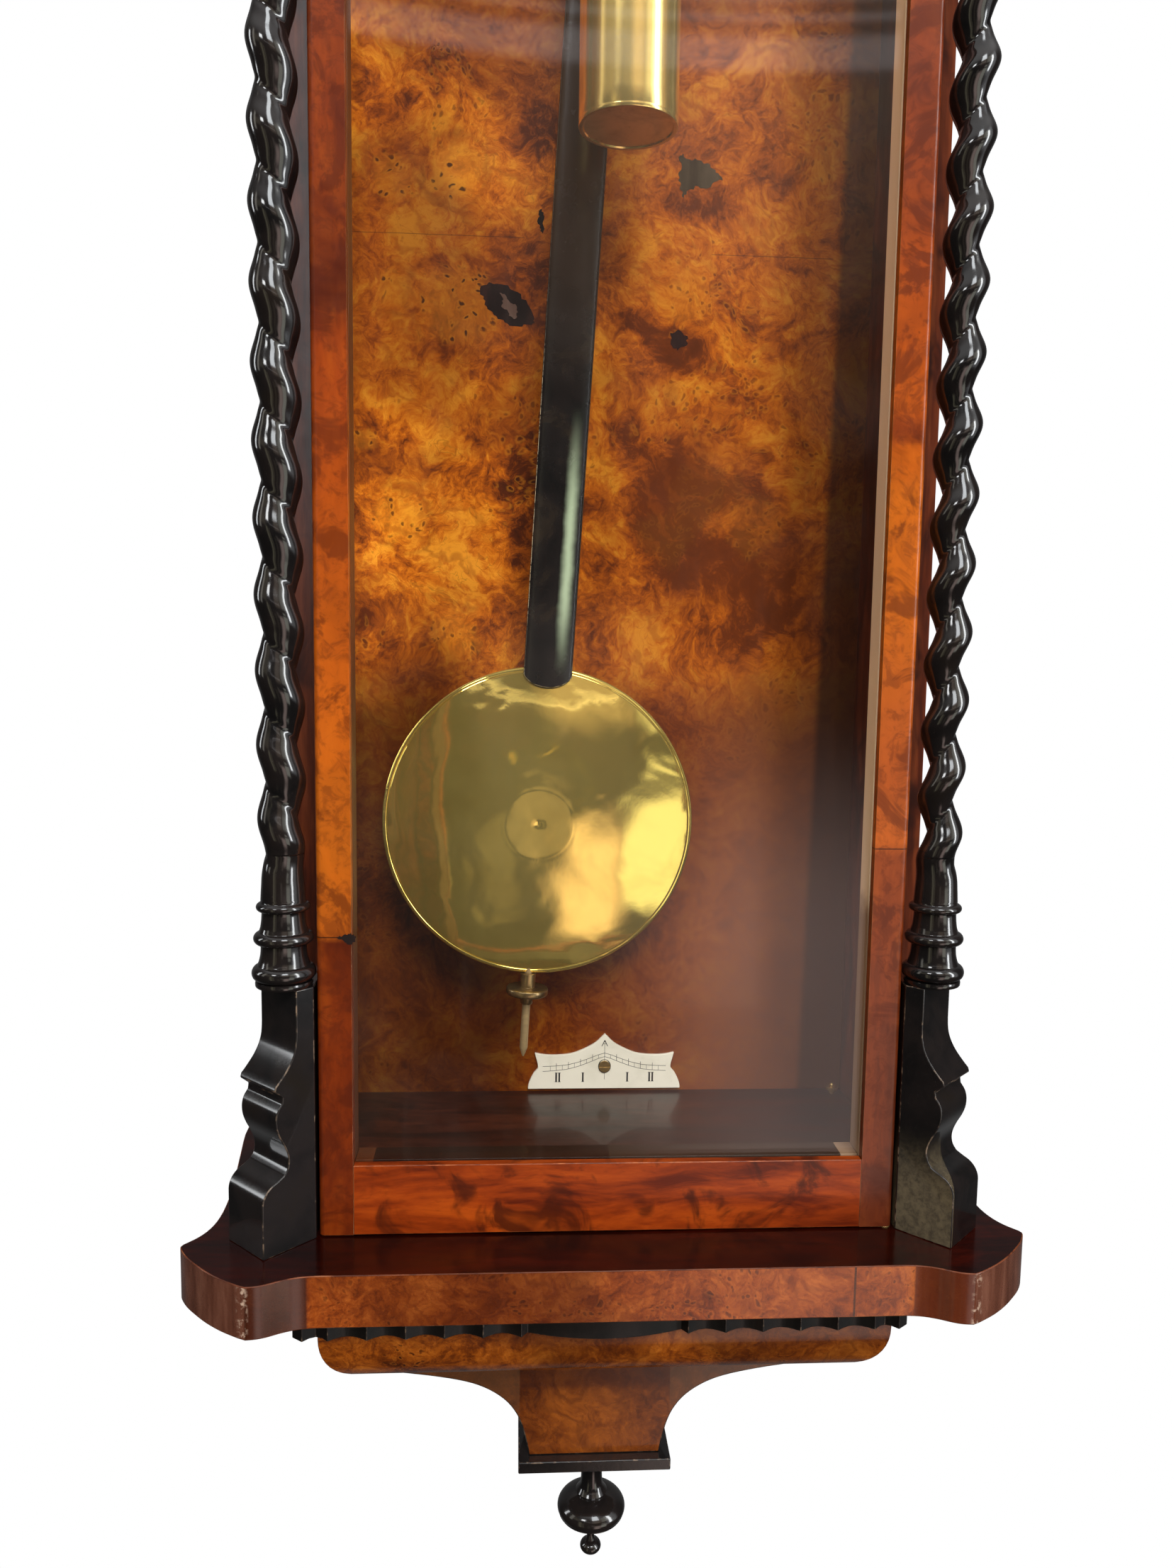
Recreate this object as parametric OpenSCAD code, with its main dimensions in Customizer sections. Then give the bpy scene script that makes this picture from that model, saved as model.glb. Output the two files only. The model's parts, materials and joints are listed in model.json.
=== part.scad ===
// Wall clock with a glazed door, a swinging pendulum and one falling weight.
// Units are millimetres. Modelled with x = 0 on the centre line, y = 0 on the door's
// front face (y grows towards the wall) and z = 0 on top of the scooped platform;
// the whole is then moved so that the hanger hole's back edge is the origin.

/* [Case] */
// half width of the door
door_hw = 140; // [120:0.5:160]
// thickness of the door frame
door_t = 22; // [18:0.5:26]
// height of the door's top edge above the platform
door_top = 898; // [860:1:940]
// width of a door stile
stile_w = 16.4; // [12:0.2:24]
// height of the door's bottom rail
rail_h = 35.4; // [25:0.2:45]
// half width inside the case
inner_hw = 148; // [146:0.5:156]
// thickness of a case side
side_t = 12; // [10:0.5:14]
// front face of the backboard
back_y = 125; // [120:1:140]
// thickness of the backboard
back_t = 12; // [10:0.5:18]
// top of the floor board inside the case
floor_z = 23.6; // [15:0.2:30]

/* [Platform and pendant] */
// thickness of the scooped platform
plat_t = 25; // [18:0.5:30]
// height of the ripple moulding
ripple_h = 22.3; // [14:0.1:26]
// height of the apron
apron_h = 29; // [20:1:36]
// half width of the apron
apron_hw = 140.5; // [120:0.5:150]
// centre of the turned drop, measured from the door's front
drop_y = 60; // [55:1:80]
// how far the pendant and its drop sit to the right of the middle
drop_x = -2.5; // [-4:0.1:4]
// widest radius of the turned drop
drop_r = 18.7; // [14:0.1:22]

/* [Columns] */
// distance of a column's axis from the centre line
col_x = 155.3; // [155:0.1:160]
// distance of a column's axis behind the door's front face
col_y = 3; // [0:0.5:8]
// radius of the left twisted shaft's round section
twist_rl = 9.4; // [8:0.1:11]
// radius of the right one
twist_rr = 8.5; // [8:0.1:11]
// offset of the left section from its axis
twist_el = 1.7; // [1:0.1:3]
// offset of the right one
twist_er = 2.4; // [1:0.1:3]
// height gained in one full turn of the left twist
lead_left = 33.9; // [26:0.1:44]
// height gained in one full turn of the right twist
lead_right = 31.7; // [26:0.1:44]
// thickness of a column bracket
brk_w = 29; // [24:0.5:32]
// top of a lower bracket
brk_top = 123.5; // [110:0.5:135]

/* [Movement and dial] */
// height of the dial's centre
dial_z = 778; // [760:1:790]
// radius of the dial
dial_r = 84; // [70:1:86]
// height of the pendulum's pivot
pivot_z = 838; // [836:0.5:842]
// winding drum radius to the middle of the line
drum_r = 16; // [14:0.5:17]
// pulley radius to the middle of the line
pulley_r = 20; // [18:0.5:21]

/* [Pendulum] */
// how far the pendulum hangs from plumb in the stored pose, degrees to the left
swing = 3.1; // [0:0.1:4]
// distance from the pivot to the middle of the bob
pend_l = 650; // [600:1:680]
// radius of the bob
bob_r = 84.5; // [70:0.5:86]
// thickness of the bob at its middle
bob_t = 30; // [20:1:32]
// width of the rod
rod_w = 26.2; // [18:0.2:30]
// middle plane of the pendulum
pend_y = 92; // [90:0.5:96]

/* [Weight] */
// radius of the weight
weight_r = 24; // [20:0.5:25]
// length of the weight's shell
weight_h = 108; // [90:1:112]
// underside of the weight in the stored pose
weight_z = 531.5; // [500:0.5:540]
// plane of the weight, pulley and line
weight_y = 50; // [48:0.5:52]

/* [Hidden] */
wall_y = back_y + back_t;
outer_hw = inner_hw + side_t;
hang_z = door_top + 58;
glass_x = door_hw - stile_w + 3.6;
cant = 0.7071068;
arch_sag = 48;
arch_spring = 824;
open_hw = door_hw - stile_w;
arch_R = (open_hw*open_hw + arch_sag*arch_sag) / (2*arch_sag);
arch_cz = arch_spring + arch_sag - arch_R;
great_z = dial_z - 31.2;
esc_z = dial_z + 30;
third_x = 13.98;
third_z = dial_z + 17;
pulley_x = pulley_r - drum_r;
pulley_z = weight_z + weight_h + 43.3;
hinge_x = door_hw - 3;
hinge_y = 3;
plate_y0 = 39; plate_y1 = 66; plate_t = 2.4;
drop_z = -190;
beat_x = 6;

walnut = [0.52,0.24,0.09]; burr = [0.66,0.36,0.12]; ebony = [0.05,0.05,0.05];
brass = [0.80,0.62,0.25]; steel = [0.55,0.56,0.58]; ivory = [0.90,0.87,0.76]; pale = [0.70,0.55,0.40];

// ---------- helpers ----------
function arc(cx, cy, rx, ry, a0, a1, n) = [for (i = [0:n]) let (a = a0 + (a1-a0)*i/n) [cx + rx*cos(a), cy + ry*sin(a)]];
// smooth curve through the points, n steps from each to the next
function crp(a, b, c, d, t) = 0.5*((2*b) + (c-a)*t + (2*a - 5*b + 4*c - d)*t*t + (3*b - a - 3*c + d)*t*t*t);
function cr(p, n = 3) = concat([for (i = [0:len(p)-2]) for (k = [0:n-1]) crp(p[max(i-1, 0)], p[i], p[i+1], p[min(i+2, len(p)-1)], k/n)], [p[len(p)-1]]);
function rev(p) = [for (i = [len(p)-1:-1:0]) p[i]];
function mirr(p) = [for (i = [len(p)-1:-1:0]) [-p[i][0], p[i][1]]];
module ycyl(x, z, r, y0, y1, fn = 48) translate([x, y1, z]) rotate([90,0,0]) cylinder(r = r, h = y1-y0, $fn = fn);
module box(x0, x1, y0, y1, z0, z1) translate([x0, y0, z0]) cube([x1-x0, y1-y0, z1-z0]);
module both() { children(); mirror([1,0,0]) children(); }
// frame at a column's axis: +x points outward along the canted corner, +y across it
module at_corner() translate([col_x + 2.3, col_y, 0]) rotate([0,0,-45]) children();
// flat wheel with square-cut teeth kept inside the pitch line
module toothed(n, rp, t, depth = 1.1) linear_extrude(height = t)
  polygon([for (i = [0:n-1]) for (k = [0:3]) let (a = 360/n*(i + [0, 0.25, 0.5, 0.75][k]), r = k < 2 ? rp - 0.08 : rp - depth) [r*cos(a), r*sin(a)]]);
module wheel_y(x, z, y, n, rp, t, spokes = 4, hub = 4) translate([x, y+t, z]) rotate([90,0,0]) difference() {
  toothed(n, rp, t);
  difference() {
    translate([0,0,-1]) cylinder(r = rp - 3.2, h = t+2, $fn = 64);
    translate([0,0,-2]) cylinder(r = hub, h = t+4, $fn = 32);
    for (i = [0:spokes-1]) rotate([0,0,i*360/spokes+20]) translate([0,-1.1,-2]) cube([rp, 2.2, t+4]);
  }
}

// ---------- case ----------
plat_half = concat(cr([[112,-35.5],[130,-35.4],[138,-35.6],[144.5,-36.6],[150.5,-38.8],[156,-41.6],[160.5,-43.2],[165.4,-43.8]]),
  cr([[168,-42.5],[170,-41.4],[178,-36.2],[186,-29.6],[193,-22.4],[198.6,-15.8],[202.4,-9.6],[203.4,-6.6]]),
  cr([[202.6,-4.6],[199,-0.2],[196.2,4.4],[194,10.4],[192.6,18],[192.2,28],[192.8,42],[194.6,60],[197.4,80],[200.4,102],[203,122],[203.4,wall_y]], 2));
module platform_plan() polygon(concat(plat_half, mirr(plat_half)));
module platform() color(burr) translate([0,0,-plat_t]) linear_extrude(height = plat_t) platform_plan();

// scalloped plan of the ripple moulding, flutes between sharp arrises
ar = [40.4, 58.8, 77.3, 95.8, 114.3, 132.8];
module ripple_moulding() color(ebony) translate([-2.2,0,-plat_t-ripple_h]) linear_extrude(height = ripple_h)
  polygon(concat(
    [[-40.4,-10]], [for (x = [-37.5:5:37.5]) [x, -12.6 + 6.6*pow(abs(x)/37.5, 2)]], [[40.4,-10]],
    [for (i = [0:len(ar)-2]) for (k = [1:6]) [ar[i] + (ar[i+1]-ar[i])*k/6, -10 + 4*sin(180*k/6)]],
    [for (k = [1:4]) [132.8 + 12*k/4, -10 + 4*sin(45*k)]],
    [[150,-6],[150,120],[-150,120],[-150,-6]],
    [for (k = [4:-1:1]) [-132.8 - 12*k/4, -10 + 4*sin(45*k)]],
    [for (i = [len(ar)-2:-1:0]) for (k = [6:-1:1]) [-(ar[i] + (ar[i+1]-ar[i])*k/6), -10 + 4*sin(180*k/6)]]));

apron_z = -plat_t - ripple_h;
module apron() color(burr) intersection() {
  translate([-apron_hw, 0, 0]) rotate([90,0,90]) linear_extrude(height = 2*apron_hw)
    polygon(concat([[118, apron_z],[-5, apron_z]], arc(13, apron_z-4, 18, apron_h-4, 180, 270, 10), [[118, apron_z-apron_h]]));
  translate([0, 119, 0]) rotate([90,0,0]) linear_extrude(height = 130)
    polygon(concat([[-apron_hw, apron_z]], arc(-apron_hw+25, apron_z-2, 25, apron_h-2, 180, 270, 12), arc(apron_hw-25, apron_z-2, 25, apron_h-2, 270, 360, 12), [[apron_hw, apron_z]]));
}

pb_z = apron_z - apron_h;
pend_half = concat([[112,pb_z]], cr([[117,-97.6],[104,-99.2],[88,-101.4],[73,-104.2],[62.4,-107.4],[53.6,-112],[46.8,-117.6],[42,-124.2],[39.2,-130.6],[37.4,-137],[36,-143],[35.2,-148]]));
module pendant_block() color(burr) translate([drop_x, 76, 0]) rotate([90,0,0]) linear_extrude(height = 32)
  polygon(concat([for (i = [len(pend_half)-1:-1:0]) pend_half[i]], [for (p = pend_half) [-p[0], p[1]]]));
module pendant_plate() color(ebony) translate([drop_x, 0, 0]) box(-40.8, 40.8, 38, 82, -154.4, -148);
module bottom_finial() color(ebony) translate([drop_x, drop_y, 0]) rotate_extrude($fn = 64)
  polygon(concat([[0,-154.4],[10.5,-154.4],[10.5,-156.4],[8.4,-158.4],[6.6,-161.5],[5.9,-166],[5.8,-172],[6.4,-177],[8.6,-180.4]],
   [for (a = [62:-8:-18]) [drop_r*cos(a), drop_z + 9.4*sin(a)]],
   [[drop_r*cos(20)-0.7, drop_z - 3.7]],
   [for (a = [-26:-8:-74]) [drop_r*cos(a), drop_z + 9.4*sin(a)]],
   [[3.2,-200.4],[2.1,-203],[2.0,-208],[2.6,-210.4]],
   [for (a = [62:-14:-78]) [5.8*cos(a), -214.4 + 4.1*sin(a)]],
   [[0,-218.6]]));

module backboard() color(burr) difference() {
  union() { box(-outer_hw, outer_hw, back_y, wall_y, 0, door_top); box(-60, 60, back_y, wall_y, door_top - 1, door_top + 46); }
  box(-30, 30, wall_y-2.5, wall_y+1, hang_z-32, hang_z+20);
  for (x = [-20, 20]) ycyl(x, hang_z-22, 1.6, wall_y-11, wall_y+1, 24);
  // pilot holes of the screws for the beat plate and the movement bracket
  ycyl(beat_x, 39, 1.55, back_y-1, back_y+9.05, 24);
  for (x = [-40, 40]) ycyl(x, dial_z+26, 1.55, back_y-1, back_y+7.05, 24);
}
post_in = 141.2; post_f = door_t + 0.6;
board_half = [[inner_hw, back_y], [inner_hw, post_f+inner_hw-post_in], [post_in+0.2, post_f+0.2]];
module board(h) linear_extrude(height = h) polygon(concat(board_half, mirr(board_half)));
module floor_board() color(walnut) difference() { board(floor_z); for (x = [-141, 141]) translate([x, 117, floor_z-10.05]) cylinder(r = 1.5, h = 12, $fn = 24); }
module ceiling_board() color(walnut) translate([0, 0, door_top-16]) board(16);

post_plan = [[post_in-2, post_f],[post_in, post_f],[outer_hw, post_f+outer_hw-post_in],[outer_hw, 58],[inner_hw, 58],[inner_hw, 46],[post_in-2, 37]];
module side_frame() color(walnut) difference() {
  union() {
    translate([0,0,floor_z]) linear_extrude(height = door_top-16-floor_z) polygon(post_plan);
    linear_extrude(height = floor_z) polygon([[inner_hw, post_f+outer_hw-post_in-12],[outer_hw, post_f+outer_hw-post_in],[outer_hw,58],[inner_hw,58]]);
    translate([0,0,door_top-16]) linear_extrude(height = 16) polygon([[inner_hw, post_f+outer_hw-post_in-12],[outer_hw, post_f+outer_hw-post_in],[outer_hw,58],[inner_hw,58]]);
    box(inner_hw, outer_hw, 57.9, 98, 0, 64);
    box(inner_hw, outer_hw, 57.9, 98, door_top-54, door_top);
    box(inner_hw, outer_hw, 97.9, back_y, 0, door_top);
  }
}
module side_frame_right() side_frame();
module side_frame_left() mirror([1,0,0]) color(walnut) difference() {
  side_frame();
  box(post_in-0.1, post_in+1.3, 10, 34, 610, 650);
}
module side_glass() color([0.8,0.9,0.9,0.3]) both() box(inner_hw+4.5, inner_hw+6.7, 58, 97.9, 64, door_top-54);

// ---------- columns ----------
tw_z0 = 186; tw_z1 = door_top - tw_z0;
module twist(lead, start, r, e) color(ebony) rotate([0,0,start])
  linear_extrude(height = tw_z1-tw_z0, twist = 360*(tw_z1-tw_z0)/lead, slices = round((tw_z1-tw_z0)/lead*14)) translate([e, 0]) circle(r = r, $fn = 16);
module twist_left() translate([-col_x, col_y, tw_z0]) twist(lead_left, 8.6, twist_rl, twist_el);
module twist_right() mirror([1,0,0]) translate([-col_x, col_y, tw_z0]) twist(lead_right, -27.1, twist_rr, twist_er);
col_prof = concat([[0, brk_top],[13.2, brk_top],[13.4, 125.6]],
  arc(11.4, 130, 3.4, 3.7, -80, 70, 8), [[12.0,134.2],[11.2,136.4],[10.7,139],[10.5,142.2]],
  arc(10.8, 146.4, 3.0, 2.9, -76, 70, 8), [[11.2,149.6],[10.5,152],[10.1,155],[9.9,158.2]],
  arc(10.2, 161.2, 2.2, 2.0, -76, 80, 8), [[10.3,164.2],[10.1,168],[9.7,174],[9.2,180],[8.9,tw_z0],[0,tw_z0]]);
module one_turning() translate([col_x, col_y, 0]) rotate_extrude($fn = 64) polygon(col_prof);
module column_turnings() color(ebony) both() { one_turning(); translate([0,0,door_top]) mirror([0,0,1]) one_turning(); }
brk_prof = concat([[-24.6,0],[20.3,0]], cr([[20.3,25.6],[19.9,28],[18.4,31],[15.6,33.6],[12,35.2]]), cr([[8.6,36.8],[6.6,39.4],[5.8,43],[6.4,47],[8.2,51.4],[10.4,55.6],[12,60],[12.4,64.6],[11.4,68.6],[9,71.8]]),
  [[8.6,74.6],[13,78.4]], cr([[12.4,80.4],[9.2,83.6],[5.4,88],[2.6,92.8],[1.2,97.6],[0.8,103]]), [[0.8,brk_top],[-24.6,brk_top]]);
module one_bracket() difference() {
  at_corner() translate([0, brk_w/2, 0]) rotate([90,0,0]) linear_extrude(height = brk_w) polygon(brk_prof);
  box(100, door_hw+1.1, -40, 60, -1, 200);
  translate([post_in, post_f, -1]) rotate([0,0,45]) translate([-40, 0, 0]) cube([100, 60, 202]);
  box(130, 170, post_f+28, 90, -1, 200);
}
module column_brackets() color(ebony) both() { one_bracket(); translate([0,0,door_top]) mirror([0,0,1]) one_bracket(); }

// ---------- head of the case ----------
corn_half = cr([[104,-24],[134,-24],[150,-26.6],[161,-29],[171,-26],[180,-18],[187,-8],[188,-1],[183,8],[179.6,18],[178,34],[178,100],[180,wall_y]], 2);
slab_half = cr([[104,-30],[134,-30],[150,-32.8],[162,-35.4],[174.4,-32],[185,-22.6],[193.2,-10],[194.4,-0.6],[189,10],[185.8,20],[184.4,36],[184.4,100],[186.4,wall_y]], 2);
module cornice() color(walnut) {
  difference() {
    union() {
      translate([0,0,door_top]) linear_extrude(height = 20) polygon(concat(corn_half, mirr(corn_half)));
    }
    box(-60.2, 60.2, back_y-0.2, wall_y+1, door_top-1, door_top+60);
  }
}
module cornice_slab() color(burr) difference() {
  translate([0,0,door_top+20]) linear_extrude(height = 18) polygon(concat(slab_half, mirr(slab_half)));
  box(-60.2, 60.2, back_y-0.2, wall_y+1, door_top-1, door_top+60);
}
ped_z = door_top + 38;
ped_half = concat([[150, ped_z],[150, ped_z+16],[138, ped_z+18]], [for (k = [0:8]) [130 - 9*k, ped_z + 22 + 34*(1-cos(90*k/8))*0.9]], [[52, ped_z+60],[44, ped_z+72],[32, ped_z+82],[16, ped_z+89],[0, ped_z+91]]);
module pediment() color(burr) translate([0, 14, 0]) rotate([90,0,0]) linear_extrude(height = 18)
  polygon(concat(ped_half, [for (i = [len(ped_half)-2:-1:0]) [-ped_half[i][0], ped_half[i][1]]]));
module finial(s) scale([s,s,s]) rotate_extrude($fn = 48)
  polygon(concat([[0,0],[11,0],[11,3],[8,5],[5,9],[5,13],[8,15]], [for (a = [-54:12:54]) [13*cos(a), 25.6+12*sin(a)]], [[5,36.4],[3,39]], [for (a = [-50:25:60]) [4.6*cos(a), 43+4.6*sin(a)]], [[0,47.6]]));
module top_finials() color(ebony) {
  for (x = [-166, 166]) translate([x, 2, ped_z]) finial(1);
  translate([0, 5, ped_z+91]) finial(0.8);
}

// ---------- fittings on the case ----------
module hanger_plate() color(brass) difference() {
  union() { box(-29.5, 29.5, wall_y-2.4, wall_y, hang_z-31.5, hang_z+4); ycyl(0, hang_z+2, 16, wall_y-2.4, wall_y, 64); }
  ycyl(0, hang_z, 4, wall_y-4, wall_y+1, 48);
  for (x = [-20, 20]) ycyl(x, hang_z-22, 1.6, wall_y-4, wall_y+1, 24);
}
module wood_screw_y(x, z, y, len, dir) { // dir +1: head faces the wall
  if (dir > 0) { ycyl(x, z, 1.55, y-len, y, 24); ycyl(x, z, 3.4, y, y+1.1, 32); }
  else difference() { union() { ycyl(x, z, 1.55, y, y+len, 24); ycyl(x, z, 3.4, y-1.1, y, 32); } box(x-4, x+4, y-1.6, y-0.6, z-0.4, z+0.4); }
}
module wood_screws() color(brass) {
  for (x = [-20, 20]) difference() { ycyl(x, hang_z-22, 1.55, wall_y-10.5, wall_y-0.05, 24); box(x-4, x+4, wall_y-0.6, wall_y+1, hang_z-22.4, hang_z-21.6); }
  wood_screw_y(beat_x, 39, back_y-2, 11, -1);
  for (x = [-40, 40]) wood_screw_y(x, dial_z+26, back_y-4, 11, -1);
}
bp = concat([[0,33.2]], cr([[1.8,31.4],[4.6,28.6],[8.4,26],[16,22.4],[21.9,20.9],[30.3,20.4],[36.2,20.8],[41.1,21.8]]),
  cr([[40.3,18.6],[39.4,15.2],[39.2,12.6]]), cr([[41.6,9.8],[43.4,6.4],[44.7,2.8],[45,0]]));
module beat_plate() color(ivory) translate([beat_x, back_y, 25.4]) rotate([90,0,0]) difference() {
  linear_extrude(height = 2) polygon(concat(rev(bp), [for (i = [1:len(bp)-1]) [-bp[i][0], bp[i][1]]]));
  translate([0,13.6,-1]) cylinder(r = 1.55, h = 4, $fn = 24);
}
module steady_screws() color(brass) both() translate([141, 117, floor_z]) {
  translate([0,0,-10]) cylinder(r = 1.5, h = 15, $fn = 24);
  translate([0,0,2.4]) cylinder(r = 3.6, h = 2, $fn = 24);
  translate([0,0,5]) sphere(r = 1.9, $fn = 24);
}
module suspension_cock() color(brass) difference() {
  union() { box(-17, 17, back_y-4, back_y, pivot_z-6, pivot_z+38); box(-11, 11, pend_y-7, back_y-3.9, pivot_z+1, pivot_z+20); }
  box(-1.4, 1.4, pend_y-8, pend_y+6, pivot_z, pivot_z+14);
}
module movement_bracket() color(ebony) {
  for (s = [-1, 1]) difference() {
    union() { box(s*40-7, s*40+7, back_y-4, back_y, dial_z-46, dial_z+48); box(s*40-4, s*40+4, plate_y1+plate_t, back_y-3.9, dial_z-40, dial_z-28); }
    ycyl(s*40, dial_z+26, 1.55, back_y-6, back_y+1, 24);
  }
}

// ---------- dial and movement ----------
module dial() color(ivory) difference() {
  ycyl(0, dial_z, dial_r, 32.8, 35.2, 128);
  ycyl(0, dial_z, 4.6, 30, 38, 32);
  ycyl(0, esc_z, 2.4, 30, 38, 32);
  ycyl(0, great_z, 5.2, 30, 38, 32);
}
module dial_bezel() color(brass) translate([0, 36.8, dial_z]) rotate([90,0,0]) rotate_extrude($fn = 128)
  polygon([[dial_r,0],[dial_r+6.5,0],[dial_r+6.5,3],[dial_r+5,5.4],[dial_r+2.6,6.4],[dial_r+0.6,5.6],[dial_r-2.2,4.6],[dial_r-2.2,4.0],[dial_r,4.0]]);
module plate_outline(y) difference() {
  box(-40, 40, y, y+plate_t, dial_z-62, dial_z+74);
  // arbor holes, running clearance 0.05
  ycyl(0, great_z, 3.05, y-1, y+plate_t+1, 32);
  ycyl(0, dial_z, 2.05, y-1, y+plate_t+1, 32);
  ycyl(third_x, third_z, 1.05, y-1, y+plate_t+1, 32);
  ycyl(0, esc_z, 1.05, y-1, y+plate_t+1, 32);
  ycyl(0, pivot_z, 1.55, y-1, y+plate_t+1, 32);
}
module movement_frame() color(brass) {
  plate_outline(plate_y0); plate_outline(plate_y1);
  for (p = [[-34,-56],[34,-56],[-34,68],[34,68]]) {
    ycyl(p[0], dial_z+p[1], 3, plate_y0+plate_t, plate_y1, 24);
    ycyl(p[0], dial_z+p[1], 1.6, 35.2, plate_y0, 24);
    ycyl(p[0], dial_z+p[1], 4, 36.4, plate_y0, 24);
  }
  // stud of the minute wheel
  ycyl(-11, dial_z, 1.0, 35.7, plate_y0+0.1, 24);
  // arm that holds the line's fixed end, and feet on the bracket arms
  box(22, 31.2, weight_y-2.5, weight_y+2.5, dial_z-58, dial_z-54);
  for (s = [-1, 1]) box(s*38-2, s*38+2, plate_y1+plate_t-0.01, plate_y1+plate_t+12, dial_z-28, dial_z-24);
}
// great wheel with its click; the drum is on the same arbor
module great_wheel() color(brass) { wheel_y(0, great_z, 60.2, 96, 28.72, 2.2, 5, 18); ycyl(8.6+6, great_z, 1.2, 58.6, 60.2, 24); box(9, 17, 58.6, 59.6, great_z-1, great_z+1.6); }
module great_hole() ycyl(0, great_z, 2.35, 50, 70, 32);
module drum() color(brass) {
  ycyl(0, great_z, 15.3, 44.2, 57, 64);
  ycyl(0, great_z, 17.6, 43, 44.2, 64);
  ycyl(0, great_z, 17.6, 57, 57.8, 64);
  ycyl(0, great_z, 3.0, 38, 43, 32);
  ycyl(0, great_z, 2.3, 57.8, 66, 32);
  ycyl(0, great_z, 3.0, 66, 69, 32);
  box(-1.9, 1.9, 31, 38, great_z-1.9, great_z+1.9);
}
module centre_arbor() color(steel) {
  ycyl(0, dial_z, 2.0, 38.6, 69.4, 32);
  ycyl(0, dial_z, 2.25, 59.6, 63.0, 16);
  ycyl(0, dial_z, 1.4, 26, 38.6, 24);
  ycyl(0, dial_z, 2.5, 37.6, 38.5, 16);
  color(brass) wheel_y(0, dial_z, 63.6, 80, 19.95, 1.6, 4, 3.5);
}
module third_arbor() color(steel) {
  ycyl(third_x, third_z, 1.0, 38.6, 69, 24);
  ycyl(third_x, third_z, 1.8, 62.8, 65.6, 16);
  color(brass) wheel_y(third_x, third_z, 56, 75, 16.8, 1.4, 4, 3);
}
module escape_arbor() color(steel) {
  ycyl(0, esc_z, 1.0, 31.0, 69, 24);
  ycyl(0, esc_z, 2.05, 55, 59, 16);
  color(brass) translate([0, 49.4, esc_z]) rotate([90,0,0]) difference() {
    linear_extrude(height = 1.4) polygon([for (i = [0:29]) for (k = [0:1]) let (a = 12*i + 9*k, r = k == 0 ? 13.2 : 11) [r*cos(a), r*sin(a)]]);
    translate([0,0,-1]) difference() { cylinder(r = 9.4, h = 4, $fn = 48); translate([0,0,-1]) cylinder(r = 3, h = 6, $fn = 24); for (i = [0:3]) rotate([0,0,90*i+45]) translate([0,-0.9,-1]) cube([11,1.8,6]); }
  }
}
module anchor() color(steel) {
  ycyl(0, pivot_z, 1.5, 38.6, 82, 24);
  difference() {
    union() { ycyl(0, pivot_z, 4, 47.6, 50.4, 32);
      translate([0, 50.4, pivot_z]) rotate([90,0,0]) linear_extrude(height = 2.8) polygon([[-3,3],[3,3],[15,-8.6],[17.2,-13],[17,-21],[13.8,-22.4],[14,-14],[11.6,-9.6],[2,-2.4],[-2,-2.4],[-11.6,-9.6],[-14,-14],[-13.8,-22.4],[-17,-21],[-17.2,-13],[-15,-8.6]]); }
  }
}
module pend_frame() translate([0, 0, pivot_z]) rotate([0, swing, 0]) translate([0, 0, -pivot_z]) children();
module crutch() color(brass) pend_frame() {
  difference() { ycyl(0, pivot_z, 4.4, 74, 77, 32); ycyl(0, pivot_z, 1.5, 70, 80, 24); }
  box(-1.6, 1.6, 74.4, 76.6, pivot_z-86, pivot_z-4.2);
  box(-1.6, 1.6, 74.4, 95, pivot_z-86, pivot_z-83);
}
// motion work behind the dial, 30 teeth on 10 and 32 teeth on 8, so 12 to 1
module hour_wheel() color(brass) difference() {
  union() { ycyl(0, dial_z, 3.9, 28.2, 36.9, 32); translate([0, 36.9, dial_z]) rotate([90,0,0]) toothed(32, 8.8, 0.9, 1.0); }
  ycyl(0, dial_z, 1.46, 20, 40, 32);
}
module minute_wheel() color(brass) difference() {
  union() { ycyl(-11, dial_z, 1.85, 35.9, 37.7, 16); translate([-11, 38.5, dial_z]) rotate([90,0,0]) toothed(30, 8.25, 0.9, 1.0); }
  ycyl(-11, dial_z, 1.05, 30, 40, 24);
}
module hand(len, w, hub) {
  cylinder(r = hub, h = 0.8, $fn = 32);
  linear_extrude(height = 0.8) polygon([[-w*0.45,0],[-w*0.5,len*0.5],[-w*1.5,len*0.66],[-w*0.5,len*0.8],[0,len],[w*0.5,len*0.8],[w*1.5,len*0.66],[w*0.5,len*0.5],[w*0.45,0]]);
}
module hour_hand() color(ebony) difference() { translate([0, 29.6, dial_z]) rotate([90,0,0]) rotate([0,0,58]) hand(50, 3, 6.4); ycyl(0, dial_z, 3.9, 20, 40, 32); }
module minute_hand() color(ebony) difference() { translate([0, 27.6, dial_z]) rotate([90,0,0]) rotate([0,0,-54]) hand(74, 2.4, 5.4); ycyl(0, dial_z, 1.4, 20, 40, 24); }
module seconds_hand() color(ebony) difference() { translate([0, 32.2, esc_z]) rotate([90,0,0]) rotate([0,0,-140]) { hand(15, 0.9, 2.2); linear_extrude(height = 0.8) polygon([[-0.5,0],[0.5,0],[0.8,-7],[-0.8,-7]]); } ycyl(0, esc_z, 1.0, 20, 40, 24); }

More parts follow.
